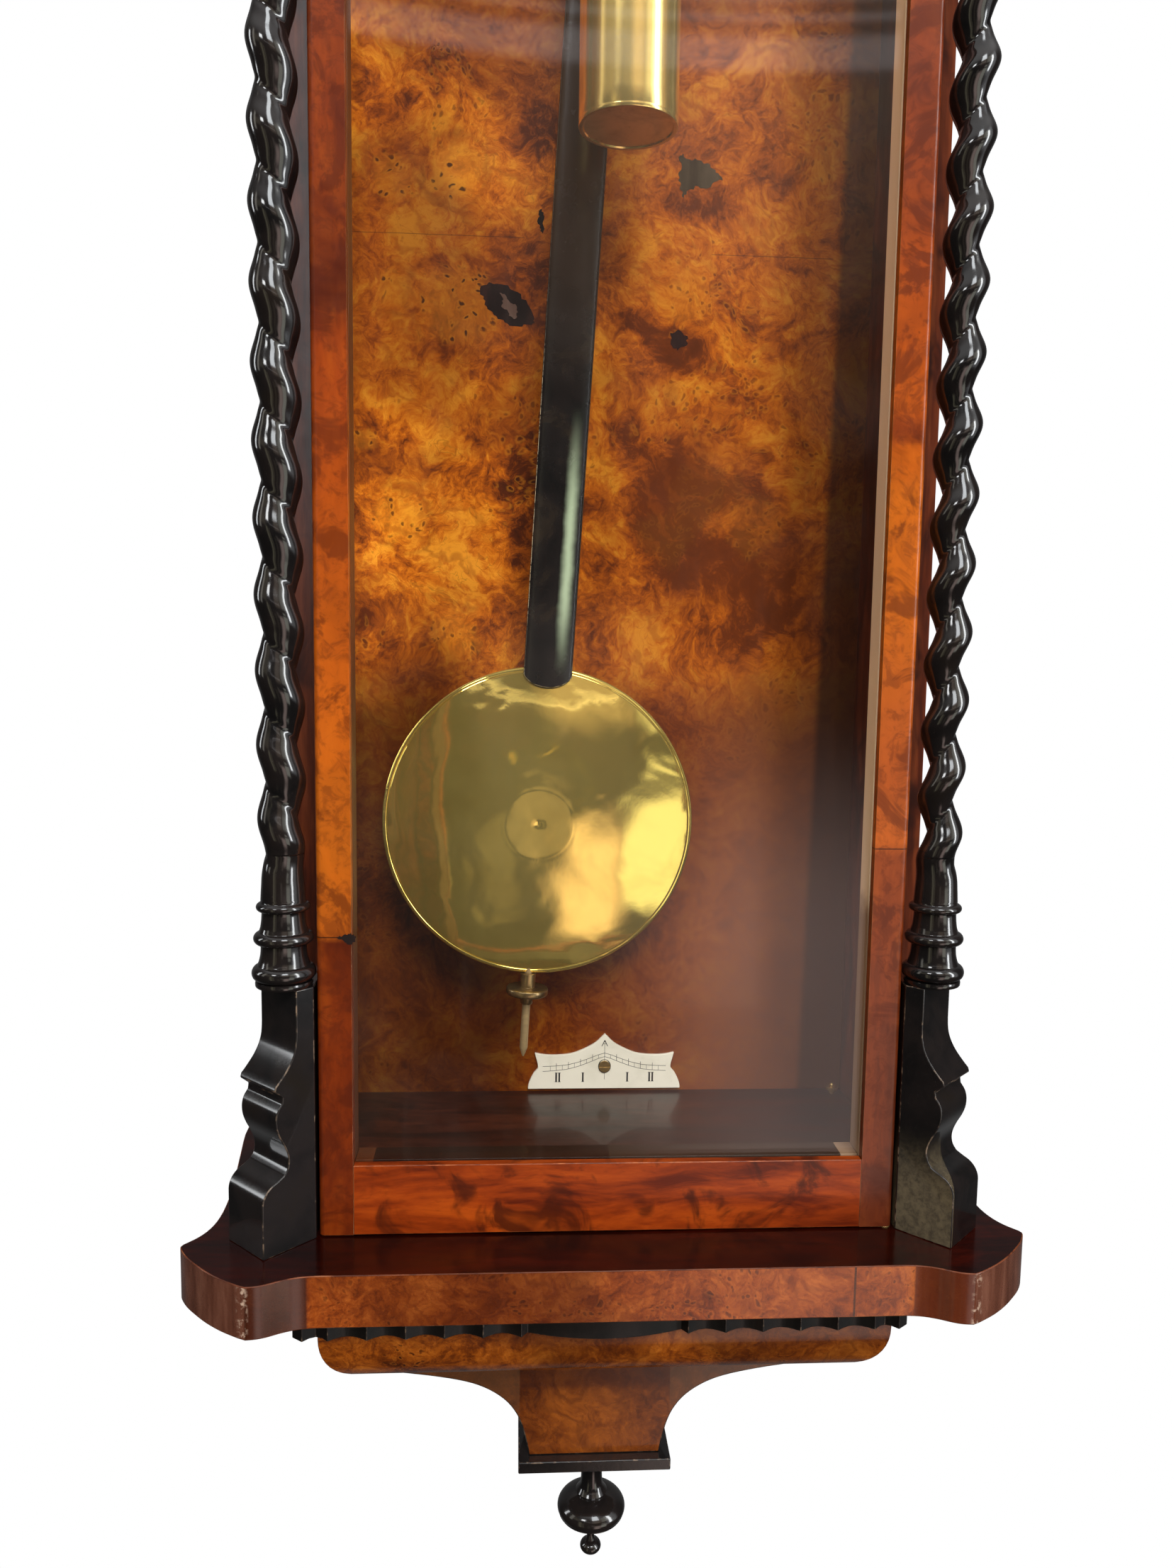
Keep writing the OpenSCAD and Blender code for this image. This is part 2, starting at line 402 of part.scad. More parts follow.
// ---------- pendulum ----------
module suspension_spring() color(steel) pend_frame() { box(-0.1, 0.1, pend_y-4.5, pend_y+4.5, pivot_z-16, pivot_z+12); }
module pendulum_head() color(brass) pend_frame() difference() {
  union() { box(-5, 5, pend_y-6, pend_y+6, pivot_z-26, pivot_z-9); box(-3.4, 3.4, pend_y-1.6, pend_y+1.6, pivot_z-62, pivot_z-25); box(-8, 8, pend_y-3, pend_y+3, pivot_z-66, pivot_z-58); ycyl(0, pivot_z-13, 1.6, pend_y-8, pend_y+8, 24); }
  box(-0.1, 0.1, pend_y-4.5, pend_y+4.5, pivot_z-16, pivot_z+12);
}
function rod_sec(w, e, c) = concat([for (i = [0:14]) let (a = 180-180*i/14) [w/2*cos(a), e+c*sin(a)]], [for (i = [0:14]) let (a = -180*i/14) [w/2*cos(a), -e+c*sin(a)]]);
rod_end = pend_l - bob_r + 11;
module pendulum_rod() color(ebony) pend_frame() difference() {
  intersection() {
    translate([0, pend_y, pivot_z-rod_end]) linear_extrude(height = rod_end-66) polygon(rod_sec(rod_w, 3.6, 3.2));
    translate([0, pend_y+20, 0]) rotate([90,0,0]) linear_extrude(height = 40) polygon(concat([[-20, pivot_z-66],[-20, pivot_z-rod_end+9]], arc(0, pivot_z-rod_end+9, rod_w/2+0.5, 9, 180, 360, 12), [[20, pivot_z-rod_end+9],[20, pivot_z-66]]));
  }
  // slot for the crutch pin, and the fork that straddles the bob's rim
  box(-2.2, 2.2, pend_y-20, pend_y+20, pivot_z-89, pivot_z-80);
  translate([0, pend_y, pivot_z-pend_l]) rotate([90,0,0]) bob_shell();
}
bob_sag = bob_t/2 - 1.5;
bob_R = (bob_r*bob_r + bob_sag*bob_sag) / (2*bob_sag);
function dome(r, off) = sqrt(max(0, pow(bob_R-off, 2) - r*r)) - (bob_R - bob_t/2);
bob_out = concat([[0, dome(19,0)-0.2],[1.8, dome(19,0)-0.2],[2.2, dome(19,0)+0.1],[18, dome(19,0)+0.1]], [for (r = [20:8:76]) [r, dome(r,0)]], [[82.4, dome(82.4,0)],[bob_r, 1.4]]);
module bob_shell() rotate_extrude($fn = 160) polygon(concat(bob_out, [for (i = [len(bob_out)-1:-1:0]) [bob_out[i][0], -bob_out[i][1]]]));
module bob() color(brass) pend_frame() translate([0, pend_y, pivot_z-pend_l]) rotate([90,0,0]) difference() {
  bob_shell();
  rotate_extrude($fn = 64) polygon([[0,11.6],[20,11.2],[44,9],[62,5.6],[72,3],[72,-3],[62,-5.6],[44,-9],[20,-11.2],[0,-11.6]]);
  // passage for the stem
  translate([0,0,0]) rotate([90,0,0]) translate([0,0,-bob_r-2]) cylinder(r = 2.3, h = 2*bob_r+4, $fn = 32);
}
module rating_stem() color(brass) pend_frame() translate([0, pend_y, 0]) {
  translate([0,0,pivot_z-pend_l-bob_r-43]) cylinder(r = 2.25, h = 43+2*bob_r-13, $fn = 32);
  translate([0,0,pivot_z-pend_l-bob_r-48]) cylinder(r1 = 0.5, r2 = 2.25, h = 5, $fn = 32);
}
nut_s = pend_l + bob_r + 8.2;
module rating_nut() color([0.45,0.30,0.14]) pend_frame() translate([0, pend_y, pivot_z-nut_s]) difference() {
  union() {
    rotate_extrude($fn = 96) polygon([[0,0],[10.6,0],[11.6,-0.8],[11.6,-3.4],[10.4,-4.4],[3.4,-4.6],[3.4,-5.6],[3.2,-9.6],[0,-9.6]]);
    cylinder(r = 4.2, h = 7.9, $fn = 32);
  }
  translate([0,0,-12]) cylinder(r = 2.3, h = 20, $fn = 32);
}

// ---------- weight ----------
module weight() color(brass) translate([pulley_x, weight_y, weight_z]) {
  rotate_extrude($fn = 96) polygon([[0,0.8],[weight_r-2.6,0.8],[weight_r-2.2,0],[weight_r-0.5,0],[weight_r,0.6],[weight_r,weight_h-0.6],[weight_r-0.5,weight_h],[weight_r-3,weight_h],[weight_r-3.4,weight_h-0.8],[4,weight_h-0.8],[3.6,weight_h+3],[1.5,weight_h+4],[0,weight_h+4]]);
  translate([0,0,weight_h+3]) cylinder(r = 1.4, h = 4, $fn = 24);
  difference() { translate([0, 1.2, weight_h+10.4]) rotate([90,0,0]) cylinder(r = 4.6, h = 2.4, $fn = 32); translate([0, 3, weight_h+10.4]) rotate([90,0,0]) cylinder(r = 2.4, h = 6, $fn = 32); }
}
module pulley_stirrup() color(brass) translate([pulley_x, weight_y, pulley_z]) {
  for (s = [-1, 1]) translate([-3, s*5.2-0.8, -24.6]) cube([6, 1.6, 28.6]);
  translate([-3, -6, -26.2]) cube([6, 12, 1.8]);
  ycyl_l(1.5, -7, 7);
  translate([0, 0, -29.3]) difference() { rotate([0,90,0]) translate([0,0,-0.9]) cylinder(r = 3.4, h = 1.8, $fn = 32); rotate([0,90,0]) translate([0,0,-3]) cylinder(r = 1.9, h = 6, $fn = 32); }
}
module ycyl_l(r, y0, y1) translate([0, y1, 0]) rotate([90,0,0]) cylinder(r = r, h = y1-y0, $fn = 24);
module pulley() color(brass) translate([pulley_x, weight_y, pulley_z]) rotate([90,0,0]) difference() {
  rotate_extrude($fn = 96) polygon([[1.55,-3.4],[5,-3.4],[5,-2.2],[16,-2.2],[17,-3.2],[22,-3.2],[22,-2.6],[19.25,-0.6],[19.25,0.6],[22,2.6],[22,3.2],[17,3.2],[16,2.2],[5,2.2],[5,3.4],[1.55,3.4]]);
  for (i = [0:4]) rotate([0,0,72*i]) translate([10.4,0,-5]) cylinder(r = 3, h = 10, $fn = 24);
}
module gut_line() color([0.78,0.66,0.42]) {
  translate([pulley_x-pulley_r, weight_y, pulley_z]) cylinder(r = 0.6, h = great_z-pulley_z, $fn = 16);
  translate([pulley_x+pulley_r, weight_y, pulley_z]) cylinder(r = 0.6, h = dial_z-58-pulley_z, $fn = 16);
  translate([pulley_x, weight_y, pulley_z]) rotate([90,0,0]) rotate([0,0,180]) rotate_extrude(angle = 180, $fn = 64) translate([pulley_r, 0]) circle(r = 0.6, $fn = 16);
}

// ---------- door ----------
door_z0 = 0.8;
door_z1 = door_top - 0.8;
module door_stiles() color(walnut) difference() {
  both() difference() {
    union() {
      box(open_hw, hinge_x, 0, door_t, door_z0, door_z1);
      box(hinge_x-1, door_hw, hinge_y, door_t, door_z0, door_z1);
      translate([hinge_x, hinge_y, door_z0]) cylinder(r = 3, h = door_z1-door_z0, $fn = 48);
    }
    box(open_hw-1, glass_x, 5, door_t+1, rail_h-3.6, arch_spring);
    intersection() { box(0, glass_x, 5, door_t+1, arch_spring-1, door_top-2); ycyl(0, arch_cz, arch_R+3.6, 4, door_t+2, 256); }
  }
  // seats of the pivot bushes in the right stile, bolt mortise and keyhole in the left
  for (z = [door_z0-1, door_z1-10.4]) translate([hinge_x, hinge_y, z]) cylinder(r = 2.4, h = 11.4, $fn = 32);
  box(-door_hw-1, -door_hw+11, 11, 15, 624, 636);
  ycyl(-132.6, 630, 1.6, -1, 13, 24);
}
module door_rails() color(walnut) {
  difference() {
    box(-open_hw, open_hw, 0, door_t, door_z0, rail_h);
    box(-open_hw-1, open_hw+1, 5, door_t+1, rail_h-3.6, rail_h+5);
  }
  difference() {
    box(-open_hw, open_hw, 0, door_t, arch_spring, door_z1);
    ycyl(0, arch_cz, arch_R, -1, door_t+1, 256);
    ycyl(0, arch_cz, arch_R+3.6, 5, door_t+1, 256);
  }
}
module door_glass() color([0.8,0.9,0.9,0.25]) union() {
  box(-glass_x+0.2, glass_x-0.2, 5.1, 7.2, rail_h-3.4, arch_spring+0.5);
  intersection() { box(-glass_x+0.2, glass_x-0.2, 5.1, 7.2, arch_spring, door_top-10); ycyl(0, arch_cz, arch_R+3.4, 4, 9, 256); }
}
module glazing_beads() color(pale) {
  both() box(open_hw+0.2, glass_x, 7.3, door_t-0.4, rail_h-3.6, arch_spring);
  box(-open_hw, open_hw, 7.3, door_t-0.4, rail_h-3.6, rail_h-0.2);
  difference() {
    intersection() { ycyl(0, arch_cz, arch_R+3.6, 7.3, door_t-0.4, 256); box(-open_hw, open_hw, 7, door_t, arch_spring, door_top); }
    ycyl(0, arch_cz, arch_R+0.2, 7, door_t, 256);
  }
}
module pivot_pins() color(brass) for (m = [0, 1]) translate([hinge_x, hinge_y, m*door_top]) mirror([0,0,m]) {
  cylinder(r = 1.6, h = 10, $fn = 32);
  cylinder(r = 2.8, h = 0.5, $fn = 32);
}
module door_bushes() color(brass) for (m = [0, 1]) translate([hinge_x, hinge_y, m*door_top]) mirror([0,0,m]) difference() {
  translate([0,0,0.8]) cylinder(r = 2.4, h = 10.4, $fn = 32);
  translate([0,0,-1]) cylinder(r = 1.65, h = 11.6, $fn = 32);
}
module strike_plate() color(brass) difference() {
  box(-post_in-1.3, -post_in-0.1+0, 8, 34, 610.1, 649.9);
  box(-post_in-3, -post_in+2, 10.6, 15.4, 623.4, 636.6);
}
module escutcheon() color(brass) difference() {
  translate([-132.6, 0, 630]) rotate([90,0,0]) linear_extrude(height = 1.2) polygon(arc(0, 0, 5.2, 10, 0, 350, 35));
  ycyl(-132.6, 631.4, 1.6, -3, 1, 24); box(-133.2, -132, -3, 1, 626, 631.4);
}
module lock_bolt() color(brass) box(-door_hw+0.2, -door_hw+10.6, 11.4, 14.6, 624.4, 635.6);

// ---------- everything in place ----------
module place() translate([0, -wall_y, -hang_z]) children();
place() {
backboard();
platform();
ripple_moulding();
apron();
pendant_block();
pendant_plate();
bottom_finial();
floor_board();
ceiling_board();
side_frame_left();
side_frame_right();
side_glass();
twist_left();
twist_right();
column_turnings();
column_brackets();
cornice();
cornice_slab();
pediment();
top_finials();
hanger_plate();
wood_screws();
beat_plate();
steady_screws();
movement_bracket();
suspension_cock();
dial();
dial_bezel();
movement_frame();
pivot_pins();
strike_plate();
door_stiles();
door_rails();
door_glass();
glazing_beads();
door_bushes();
escutcheon();
lock_bolt();
suspension_spring();
pendulum_head();
pendulum_rod();
bob();
rating_stem();
rating_nut();
weight();
pulley_stirrup();
pulley();
gut_line();
difference() { great_wheel(); great_hole(); }
drum();
centre_arbor();
third_arbor();
escape_arbor();
pend_frame() anchor();
crutch();
minute_wheel();
hour_wheel();
hour_hand();
minute_hand();
seconds_hand();
}
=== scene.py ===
import bpy
import bmesh
import json
import math
import random
from mathutils import Vector, Matrix
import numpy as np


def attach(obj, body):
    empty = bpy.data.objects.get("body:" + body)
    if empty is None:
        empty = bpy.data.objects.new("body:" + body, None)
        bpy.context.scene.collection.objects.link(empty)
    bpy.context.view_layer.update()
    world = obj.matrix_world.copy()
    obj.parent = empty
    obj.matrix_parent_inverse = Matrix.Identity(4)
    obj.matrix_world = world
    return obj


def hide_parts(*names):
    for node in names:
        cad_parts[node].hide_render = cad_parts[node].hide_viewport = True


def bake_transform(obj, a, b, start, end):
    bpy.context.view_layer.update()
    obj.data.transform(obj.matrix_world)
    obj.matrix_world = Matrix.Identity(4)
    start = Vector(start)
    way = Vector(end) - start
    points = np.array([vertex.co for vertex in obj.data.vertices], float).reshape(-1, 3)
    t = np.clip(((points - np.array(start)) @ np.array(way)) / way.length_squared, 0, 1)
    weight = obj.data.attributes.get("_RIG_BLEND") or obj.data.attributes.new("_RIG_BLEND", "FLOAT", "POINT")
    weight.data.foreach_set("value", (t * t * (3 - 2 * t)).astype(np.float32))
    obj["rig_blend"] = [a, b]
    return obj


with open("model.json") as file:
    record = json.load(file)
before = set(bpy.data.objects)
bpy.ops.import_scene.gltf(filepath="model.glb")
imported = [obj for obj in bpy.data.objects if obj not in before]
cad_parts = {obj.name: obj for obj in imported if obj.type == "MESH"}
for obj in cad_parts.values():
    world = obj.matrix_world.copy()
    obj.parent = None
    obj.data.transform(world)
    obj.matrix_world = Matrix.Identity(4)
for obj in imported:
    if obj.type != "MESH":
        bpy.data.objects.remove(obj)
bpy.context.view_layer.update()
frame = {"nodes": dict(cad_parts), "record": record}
NODES = frame["nodes"]
BODY_OF = {n: b for b, ns in frame["record"]["behaviour"]["bodies"].items() for n in ns}
rng = random.Random(7)

# ------------------------------------------------------------------ sizes, as in part.scad (mm)
# drawing frame: x = 0 centre, y = 0 door front (towards the wall is +), z = 0 top of the platform
WALL_Y, HANG_Z = 137.0, 956.0
DOOR_TOP = 898.0
COL_X, COL_Y = 155.3, 3.0
DROP_X = -2.5
DIAL_Z, DIAL_R = 778.0, 84.0
PIVOT_Z, PEND_Y, SWING, PEND_L = 838.0, 92.0, math.radians(3.1), 650.0
BOB_R, BOB_T = 84.5, 30.0
WEIGHT = (4.0, 50.0, 531.5)
WEIGHT_R, WEIGHT_H = 24.0, 108.0
PULLEY_Z = 682.8
GREAT_Z = 746.8
ESC_Z = 808.0
BEAT_X = 6.0


def rec(x, y, z):
    return (x * 0.001, (y - WALL_Y) * 0.001, (z - HANG_Z) * 0.001)


def pend(x, y, z):
    """A point drawn with the pendulum plumb, turned to where the pendulum hangs."""
    dx, dz = x, z - PIVOT_Z
    return (dx * math.cos(SWING) + dz * math.sin(SWING), y, PIVOT_Z - dx * math.sin(SWING) + dz * math.cos(SWING))


# ------------------------------------------------------------------ materials
class Mat:
    def __init__(self, name):
        self.m = bpy.data.materials.new(name)
        self.m.use_nodes = True
        self.t = self.m.node_tree
        self.t.nodes.clear()
        self.out = self.t.nodes.new("ShaderNodeOutputMaterial")
        self.p = self.t.nodes.new("ShaderNodeBsdfPrincipled")
        self.t.links.new(self.p.outputs[0], self.out.inputs[0])
        self.tc = self.t.nodes.new("ShaderNodeTexCoord")
        self._xyz = None

    def link(self, a, b):
        self.t.links.new(a, b)

    def put(self, sock, v):
        if isinstance(v, bpy.types.NodeSocket):
            self.t.links.new(v, sock)
        elif isinstance(v, (tuple, list)) and len(v) == 3 and sock.type == "RGBA":
            sock.default_value = (*v, 1.0)
        else:
            sock.default_value = v

    def set(self, **kw):
        for k, v in kw.items():
            self.put(self.p.inputs[k.replace("_", " ")], v)
        return self

    def n(self, kind, **props):
        node = self.t.nodes.new("ShaderNode" + kind)
        for k, v in props.items():
            setattr(node, k, v)
        return node

    def map(self, scale=(1, 1, 1), rot=(0, 0, 0), loc=(0, 0, 0)):
        m = self.n("Mapping")
        self.link(self.tc.outputs["Object"], m.inputs["Vector"])
        m.inputs["Scale"].default_value = scale
        m.inputs["Rotation"].default_value = rot
        m.inputs["Location"].default_value = loc
        return m.outputs[0]

    def xyz(self):
        if self._xyz is None:
            s = self.n("SeparateXYZ")
            self.link(self.tc.outputs["Object"], s.inputs[0])
            self._xyz = s.outputs
        return self._xyz

    def noise(self, v, scale, detail=3.0, rough=0.5, dist=0.0, color=False):
        n = self.n("TexNoise")
        self.put(n.inputs["Vector"], v)
        n.inputs["Scale"].default_value = scale
        n.inputs["Detail"].default_value = detail
        n.inputs["Roughness"].default_value = rough
        n.inputs["Distortion"].default_value = dist
        return n.outputs["Color"] if color else n.outputs[0]

    def voronoi(self, v, scale, rand=1.0, feature="F1"):
        n = self.n("TexVoronoi", feature=feature)
        self.put(n.inputs["Vector"], v)
        n.inputs["Scale"].default_value = scale
        n.inputs["Randomness"].default_value = rand
        return n.outputs

    def wave(self, v, scale, dist=2.0, detail=2.0, dscale=1.0, direction="X", kind="BANDS", profile="SIN"):
        n = self.n("TexWave", wave_type=kind, wave_profile=profile)
        if kind == "BANDS":
            n.bands_direction = direction
        else:
            n.rings_direction = direction
        self.put(n.inputs["Vector"], v)
        n.inputs["Scale"].default_value = scale
        n.inputs["Distortion"].default_value = dist
        n.inputs["Detail"].default_value = detail
        n.inputs["Detail Scale"].default_value = dscale
        return n.outputs["Fac"]

    def ramp(self, fac, stops, interp="LINEAR"):
        r = self.n("ValToRGB")
        self.put(r.inputs[0], fac)
        cr = r.color_ramp
        cr.interpolation = interp
        while len(cr.elements) > 1:
            cr.elements.remove(cr.elements[-1])
        for i, (pos, c) in enumerate(stops):
            e = cr.elements[0] if i == 0 else cr.elements.new(pos)
            e.position = pos
            e.color = (*c, 1.0) if isinstance(c, (tuple, list)) else (c, c, c, 1.0)
        return r.outputs[0]

    def mix(self, fac, a, b, blend="MIX"):
        n = self.n("Mix", data_type="RGBA", blend_type=blend, clamp_result=True)
        self.put(n.inputs[0], fac)
        self.put(n.inputs[6], a)
        self.put(n.inputs[7], b)
        return n.outputs[2]

    def math(self, op, a, b=0.0, c=0.0, clamp=False):
        n = self.n("Math", operation=op, use_clamp=clamp)
        self.put(n.inputs[0], a)
        self.put(n.inputs[1], b)
        if op in ("MULTIPLY_ADD", "SMOOTH_MIN", "SMOOTH_MAX", "WRAP", "COMPARE"):
            self.put(n.inputs[2], c)
        return n.outputs[0]

    def rng(self, v, a, b, c=0.0, d=1.0, smooth=False):
        n = self.n("MapRange", clamp=True)
        if smooth:
            n.interpolation_type = "SMOOTHSTEP"
        self.put(n.inputs[0], v)
        for i, x in enumerate((a, b, c, d)):
            n.inputs[i + 1].default_value = x
        return n.outputs[0]

    def vadd(self, a, b, scale=1.0):
        s = self.n("VectorMath", operation="SCALE")
        self.put(s.inputs[0], b)
        s.inputs["Scale"].default_value = scale
        n = self.n("VectorMath", operation="ADD")
        self.put(n.inputs[0], a)
        self.link(s.outputs[0], n.inputs[1])
        return n.outputs[0]

    def spot(self, v, x, z, rx, rz=None, turn=0.0):
        """Distance from a point of the drawing frame (mm), 1.0 on an ellipse round it. v is a warped position."""
        m = self.n("Mapping", vector_type="TEXTURE")
        self.link(v, m.inputs["Vector"])
        m.inputs["Location"].default_value = (x * 0.001, 0.0, (z - 956.0) * 0.001)
        m.inputs["Rotation"].default_value = (0.0, math.radians(turn), 0.0)
        m.inputs["Scale"].default_value = (rx * 0.001, 1000.0, (rz or rx) * 0.001)
        n = self.n("VectorMath", operation="LENGTH")
        self.link(m.outputs[0], n.inputs[0])
        return n.outputs["Value"]

    def zramp(self, z, stops):
        """Colour by height in the drawing frame (mm)."""
        z0, z1 = stops[0][0], stops[-1][0]
        f = self.rng(z, (z0 - 956.0) * 0.001, (z1 - 956.0) * 0.001)
        return self.ramp(f, [((a - z0) / (z1 - z0), c) for a, c in stops])

    def bump(self, height, strength=0.3, distance=0.001, normal=None):
        n = self.n("Bump")
        self.put(n.inputs["Height"], height)
        n.inputs["Strength"].default_value = strength
        n.inputs["Distance"].default_value = distance
        if normal is not None:
            self.link(normal, n.inputs["Normal"])
        return n.outputs[0]

    def normal(self, sock):
        self.link(sock, self.p.inputs["Normal"])
        return self


def lin(r, g, b):
    f = lambda c: (c / 255 / 12.92) if c <= 10 else ((c / 255 + 0.055) / 1.055) ** 2.4
    return (f(r), f(g), f(b))


def burr(name, cols, scale=1.0, rot=(0.3, 0.2, 0.1), seed=(0, 0, 0), eyes=1.0, shade=None, rough=0.20, coat=0.5, clusters=None, darks=(), lights=(), crisp=1.0):
    """Burr walnut veneer under polish: clouds and swirls with clusters of small dark eyes."""
    g = Mat(name)
    obj = g.map()
    v = g.map(rot=rot, loc=seed, scale=(scale,) * 3)
    warp = g.noise(v, 11.0, 3.0, 0.55, color=True)
    v2 = g.vadd(v, warp, 0.045)
    fine = g.noise(v2, 60.0, 3.0, 0.6, color=True)
    v3 = g.vadd(v2, fine, 0.012)
    clouds = g.noise(v3, 24.0, 6.0, 0.66, 0.9)
    swirl = g.noise(v3, 85.0, 6.0, 0.70, 1.8)
    fleck = g.noise(v3, 480.0, 4.0, 0.7, 0.5)
    f = g.math("ADD", g.math("MULTIPLY", clouds, 0.52), g.math("MULTIPLY", swirl, 0.38))
    f = g.math("ADD", f, g.math("MULTIPLY", fleck, 0.12))
    f = g.math("MULTIPLY_ADD", g.math("SUBTRACT", f, 0.5), crisp, 0.5)
    # a placed position, pushed about by the same swirls so that no outline is regular
    wv = g.n("VectorMath", operation="SUBTRACT")
    g.link(g.noise(obj, 26.0, 4.0, 0.6, 0.6, color=True), wv.inputs[0])
    wv.inputs[1].default_value = (0.5, 0.5, 0.5)
    pos = g.vadd(obj, wv.outputs[0], 0.030)
    for x, z, rx, rz, turn, k in lights:
        f = g.math("ADD", f, g.rng(g.spot(pos, x, z, rx, rz, turn), 0.30, 1.15, 0.12 * k, 0.0, True))
    for x, z, rx, rz, turn, k in darks:
        f = g.math("SUBTRACT", f, g.rng(g.spot(pos, x, z, rx, rz, turn), 0.35, 1.15, 0.19 * k, 0.0, True))
    deep = tuple(c * 0.42 for c in cols[0])
    col = g.ramp(f, [(0.27, deep), (0.37, cols[0]), (0.455, cols[1]), (0.52, cols[2]), (0.63, cols[3])])
    # long figure lines that follow the swirls
    lines = g.wave(v3, 26.0, 9.0, 3.0, 1.4, "DIAGONAL")
    lm = g.math("MULTIPLY", g.rng(lines, 0.80, 1.0, 0.0, 0.5), g.rng(clouds, 0.42, 0.56, 0.0, 1.0))
    col = g.mix(lm, col, cols[1])
    thin = g.rng(g.noise(v3, 38.0, 2.0, 0.5, 2.2), 0.492, 0.508, 0.0, 1.0, False)
    thin = g.math("MULTIPLY", g.math("MULTIPLY", thin, g.math("SUBTRACT", 1.0, thin)), 1.3)
    col = g.mix(thin, col, cols[0])
    vor = g.voronoi(v3, 215.0, 1.0)
    keep = g.math("GREATER_THAN", sep_r(g, vor["Color"]), 0.28)
    if clusters is None:
        cluster = g.rng(g.noise(v, 17.0, 1.0, 0.5), 0.52, 0.60, 0.0, 1.0, True)
    else:
        cluster = g.rng(g.noise(v, 17.0, 1.0, 0.5), 0.585, 0.64, 0.0, 0.6, True)
        for x, z, r, k in clusters:
            d = g.spot(pos, x, z, r)
            cluster = g.math("MAXIMUM", cluster, g.rng(d, 0.72, 1.02, k, 0.0, True))
            ring = g.math("MULTIPLY", g.rng(d, 0.96, 1.12, 0.0, 1.0, True), g.rng(d, 1.12, 1.34, 1.0, 0.0, True))
            col = g.mix(g.math("MULTIPLY", ring, 0.26 * k), col, cols[0])
            col = g.mix(g.rng(d, 0.55, 1.0, 0.30 * k, 0.0, True), col, cols[3])
    mask = g.math("MULTIPLY", keep, cluster)
    core = g.math("MULTIPLY", g.rng(vor["Distance"], 0.17, 0.32, 1.0, 0.0, True), mask)
    halo = g.math("MULTIPLY", g.math("MULTIPLY", g.rng(vor["Distance"], 0.24, 0.36, 0.0, 1.0), g.rng(vor["Distance"], 0.36, 0.54, 1.0, 0.0)), mask)
    col = g.mix(g.math("MULTIPLY", halo, 0.50 * eyes), col, cols[3])
    # darker smoky areas
    smoke = g.rng(g.noise(v, 7.0, 3.0, 0.55, 0.4), 0.48, 0.66, 0.0, 0.60, True)
    col = g.mix(smoke, col, cols[0])
    col = g.mix(g.math("MULTIPLY", core, 0.86 * eyes), col, cols[4])
    if shade is not None:
        col = shade(g, col)
    g.set(Base_Color=col, Coat_Weight=coat, Coat_Roughness=0.06, IOR=1.38)
    r = g.math("ADD", rough, g.math("MULTIPLY", g.noise(v, 150.0, 3.0, 0.6), 0.14))
    g.put(g.p.inputs["Roughness"], r)
    g.normal(g.bump(g.math("ADD", swirl, g.math("MULTIPLY", fleck, 0.5)), 0.10, 0.0006))
    return g.m


def sep_r(g, color):
    s = g.n("SeparateColor")
    g.link(color, s.inputs[0])
    return s.outputs[0]


def streaky(name, dark, mid, light, blot, axis="Z", scale=1.0, seed=(0, 0, 0), rough=0.26, coat=0.22, shade=None, fine=0.5, blots=1.0, blot_scale=13.0):
    """Straight-cut walnut veneer with smoky blotches, grain along axis."""
    g = Mat(name)
    k = [1.0, 1.0, 1.0]
    k["XYZ".index(axis)] = 0.16
    v0 = g.map(loc=seed)
    warp = g.noise(v0, 16.0, 2.0, 0.5, color=True)
    m = g.n("Mapping")
    g.link(g.vadd(v0, warp, 0.012), m.inputs["Vector"])
    m.inputs["Scale"].default_value = [scale * x for x in k]
    v = m.outputs[0]
    a = g.noise(v, 55.0, 4.0, 0.62, 0.9)
    b = g.noise(v, 260.0, 4.0, 0.7, 0.3)
    f = g.math("ADD", g.math("MULTIPLY", a, 0.7), g.math("MULTIPLY", b, 0.3 * fine + 0.1))
    col = g.ramp(f, [(0.36, dark), (0.48, mid), (0.62, light)])
    bl = g.rng(g.noise(g.vadd(v0, warp, 0.03), blot_scale, 4.0, 0.6, 1.2), 0.50, 0.66, 0.0, blots, True)
    col = g.mix(bl, col, blot)
    pores = g.rng(g.noise(v, 900.0, 2.0, 0.6), 0.60, 0.72, 0.0, 0.35)
    col = g.mix(pores, col, dark)
    if shade is not None:
        col = shade(g, col)
    g.set(Base_Color=col, Coat_Weight=coat, Coat_Roughness=0.07, IOR=1.38)
    g.put(g.p.inputs["Roughness"], g.math("ADD", rough, g.math("MULTIPLY", g.noise(v0, 120.0, 3.0, 0.6), 0.16)))
    g.normal(g.bump(g.math("ADD", b, a), 0.08, 0.0005))
    return g.m


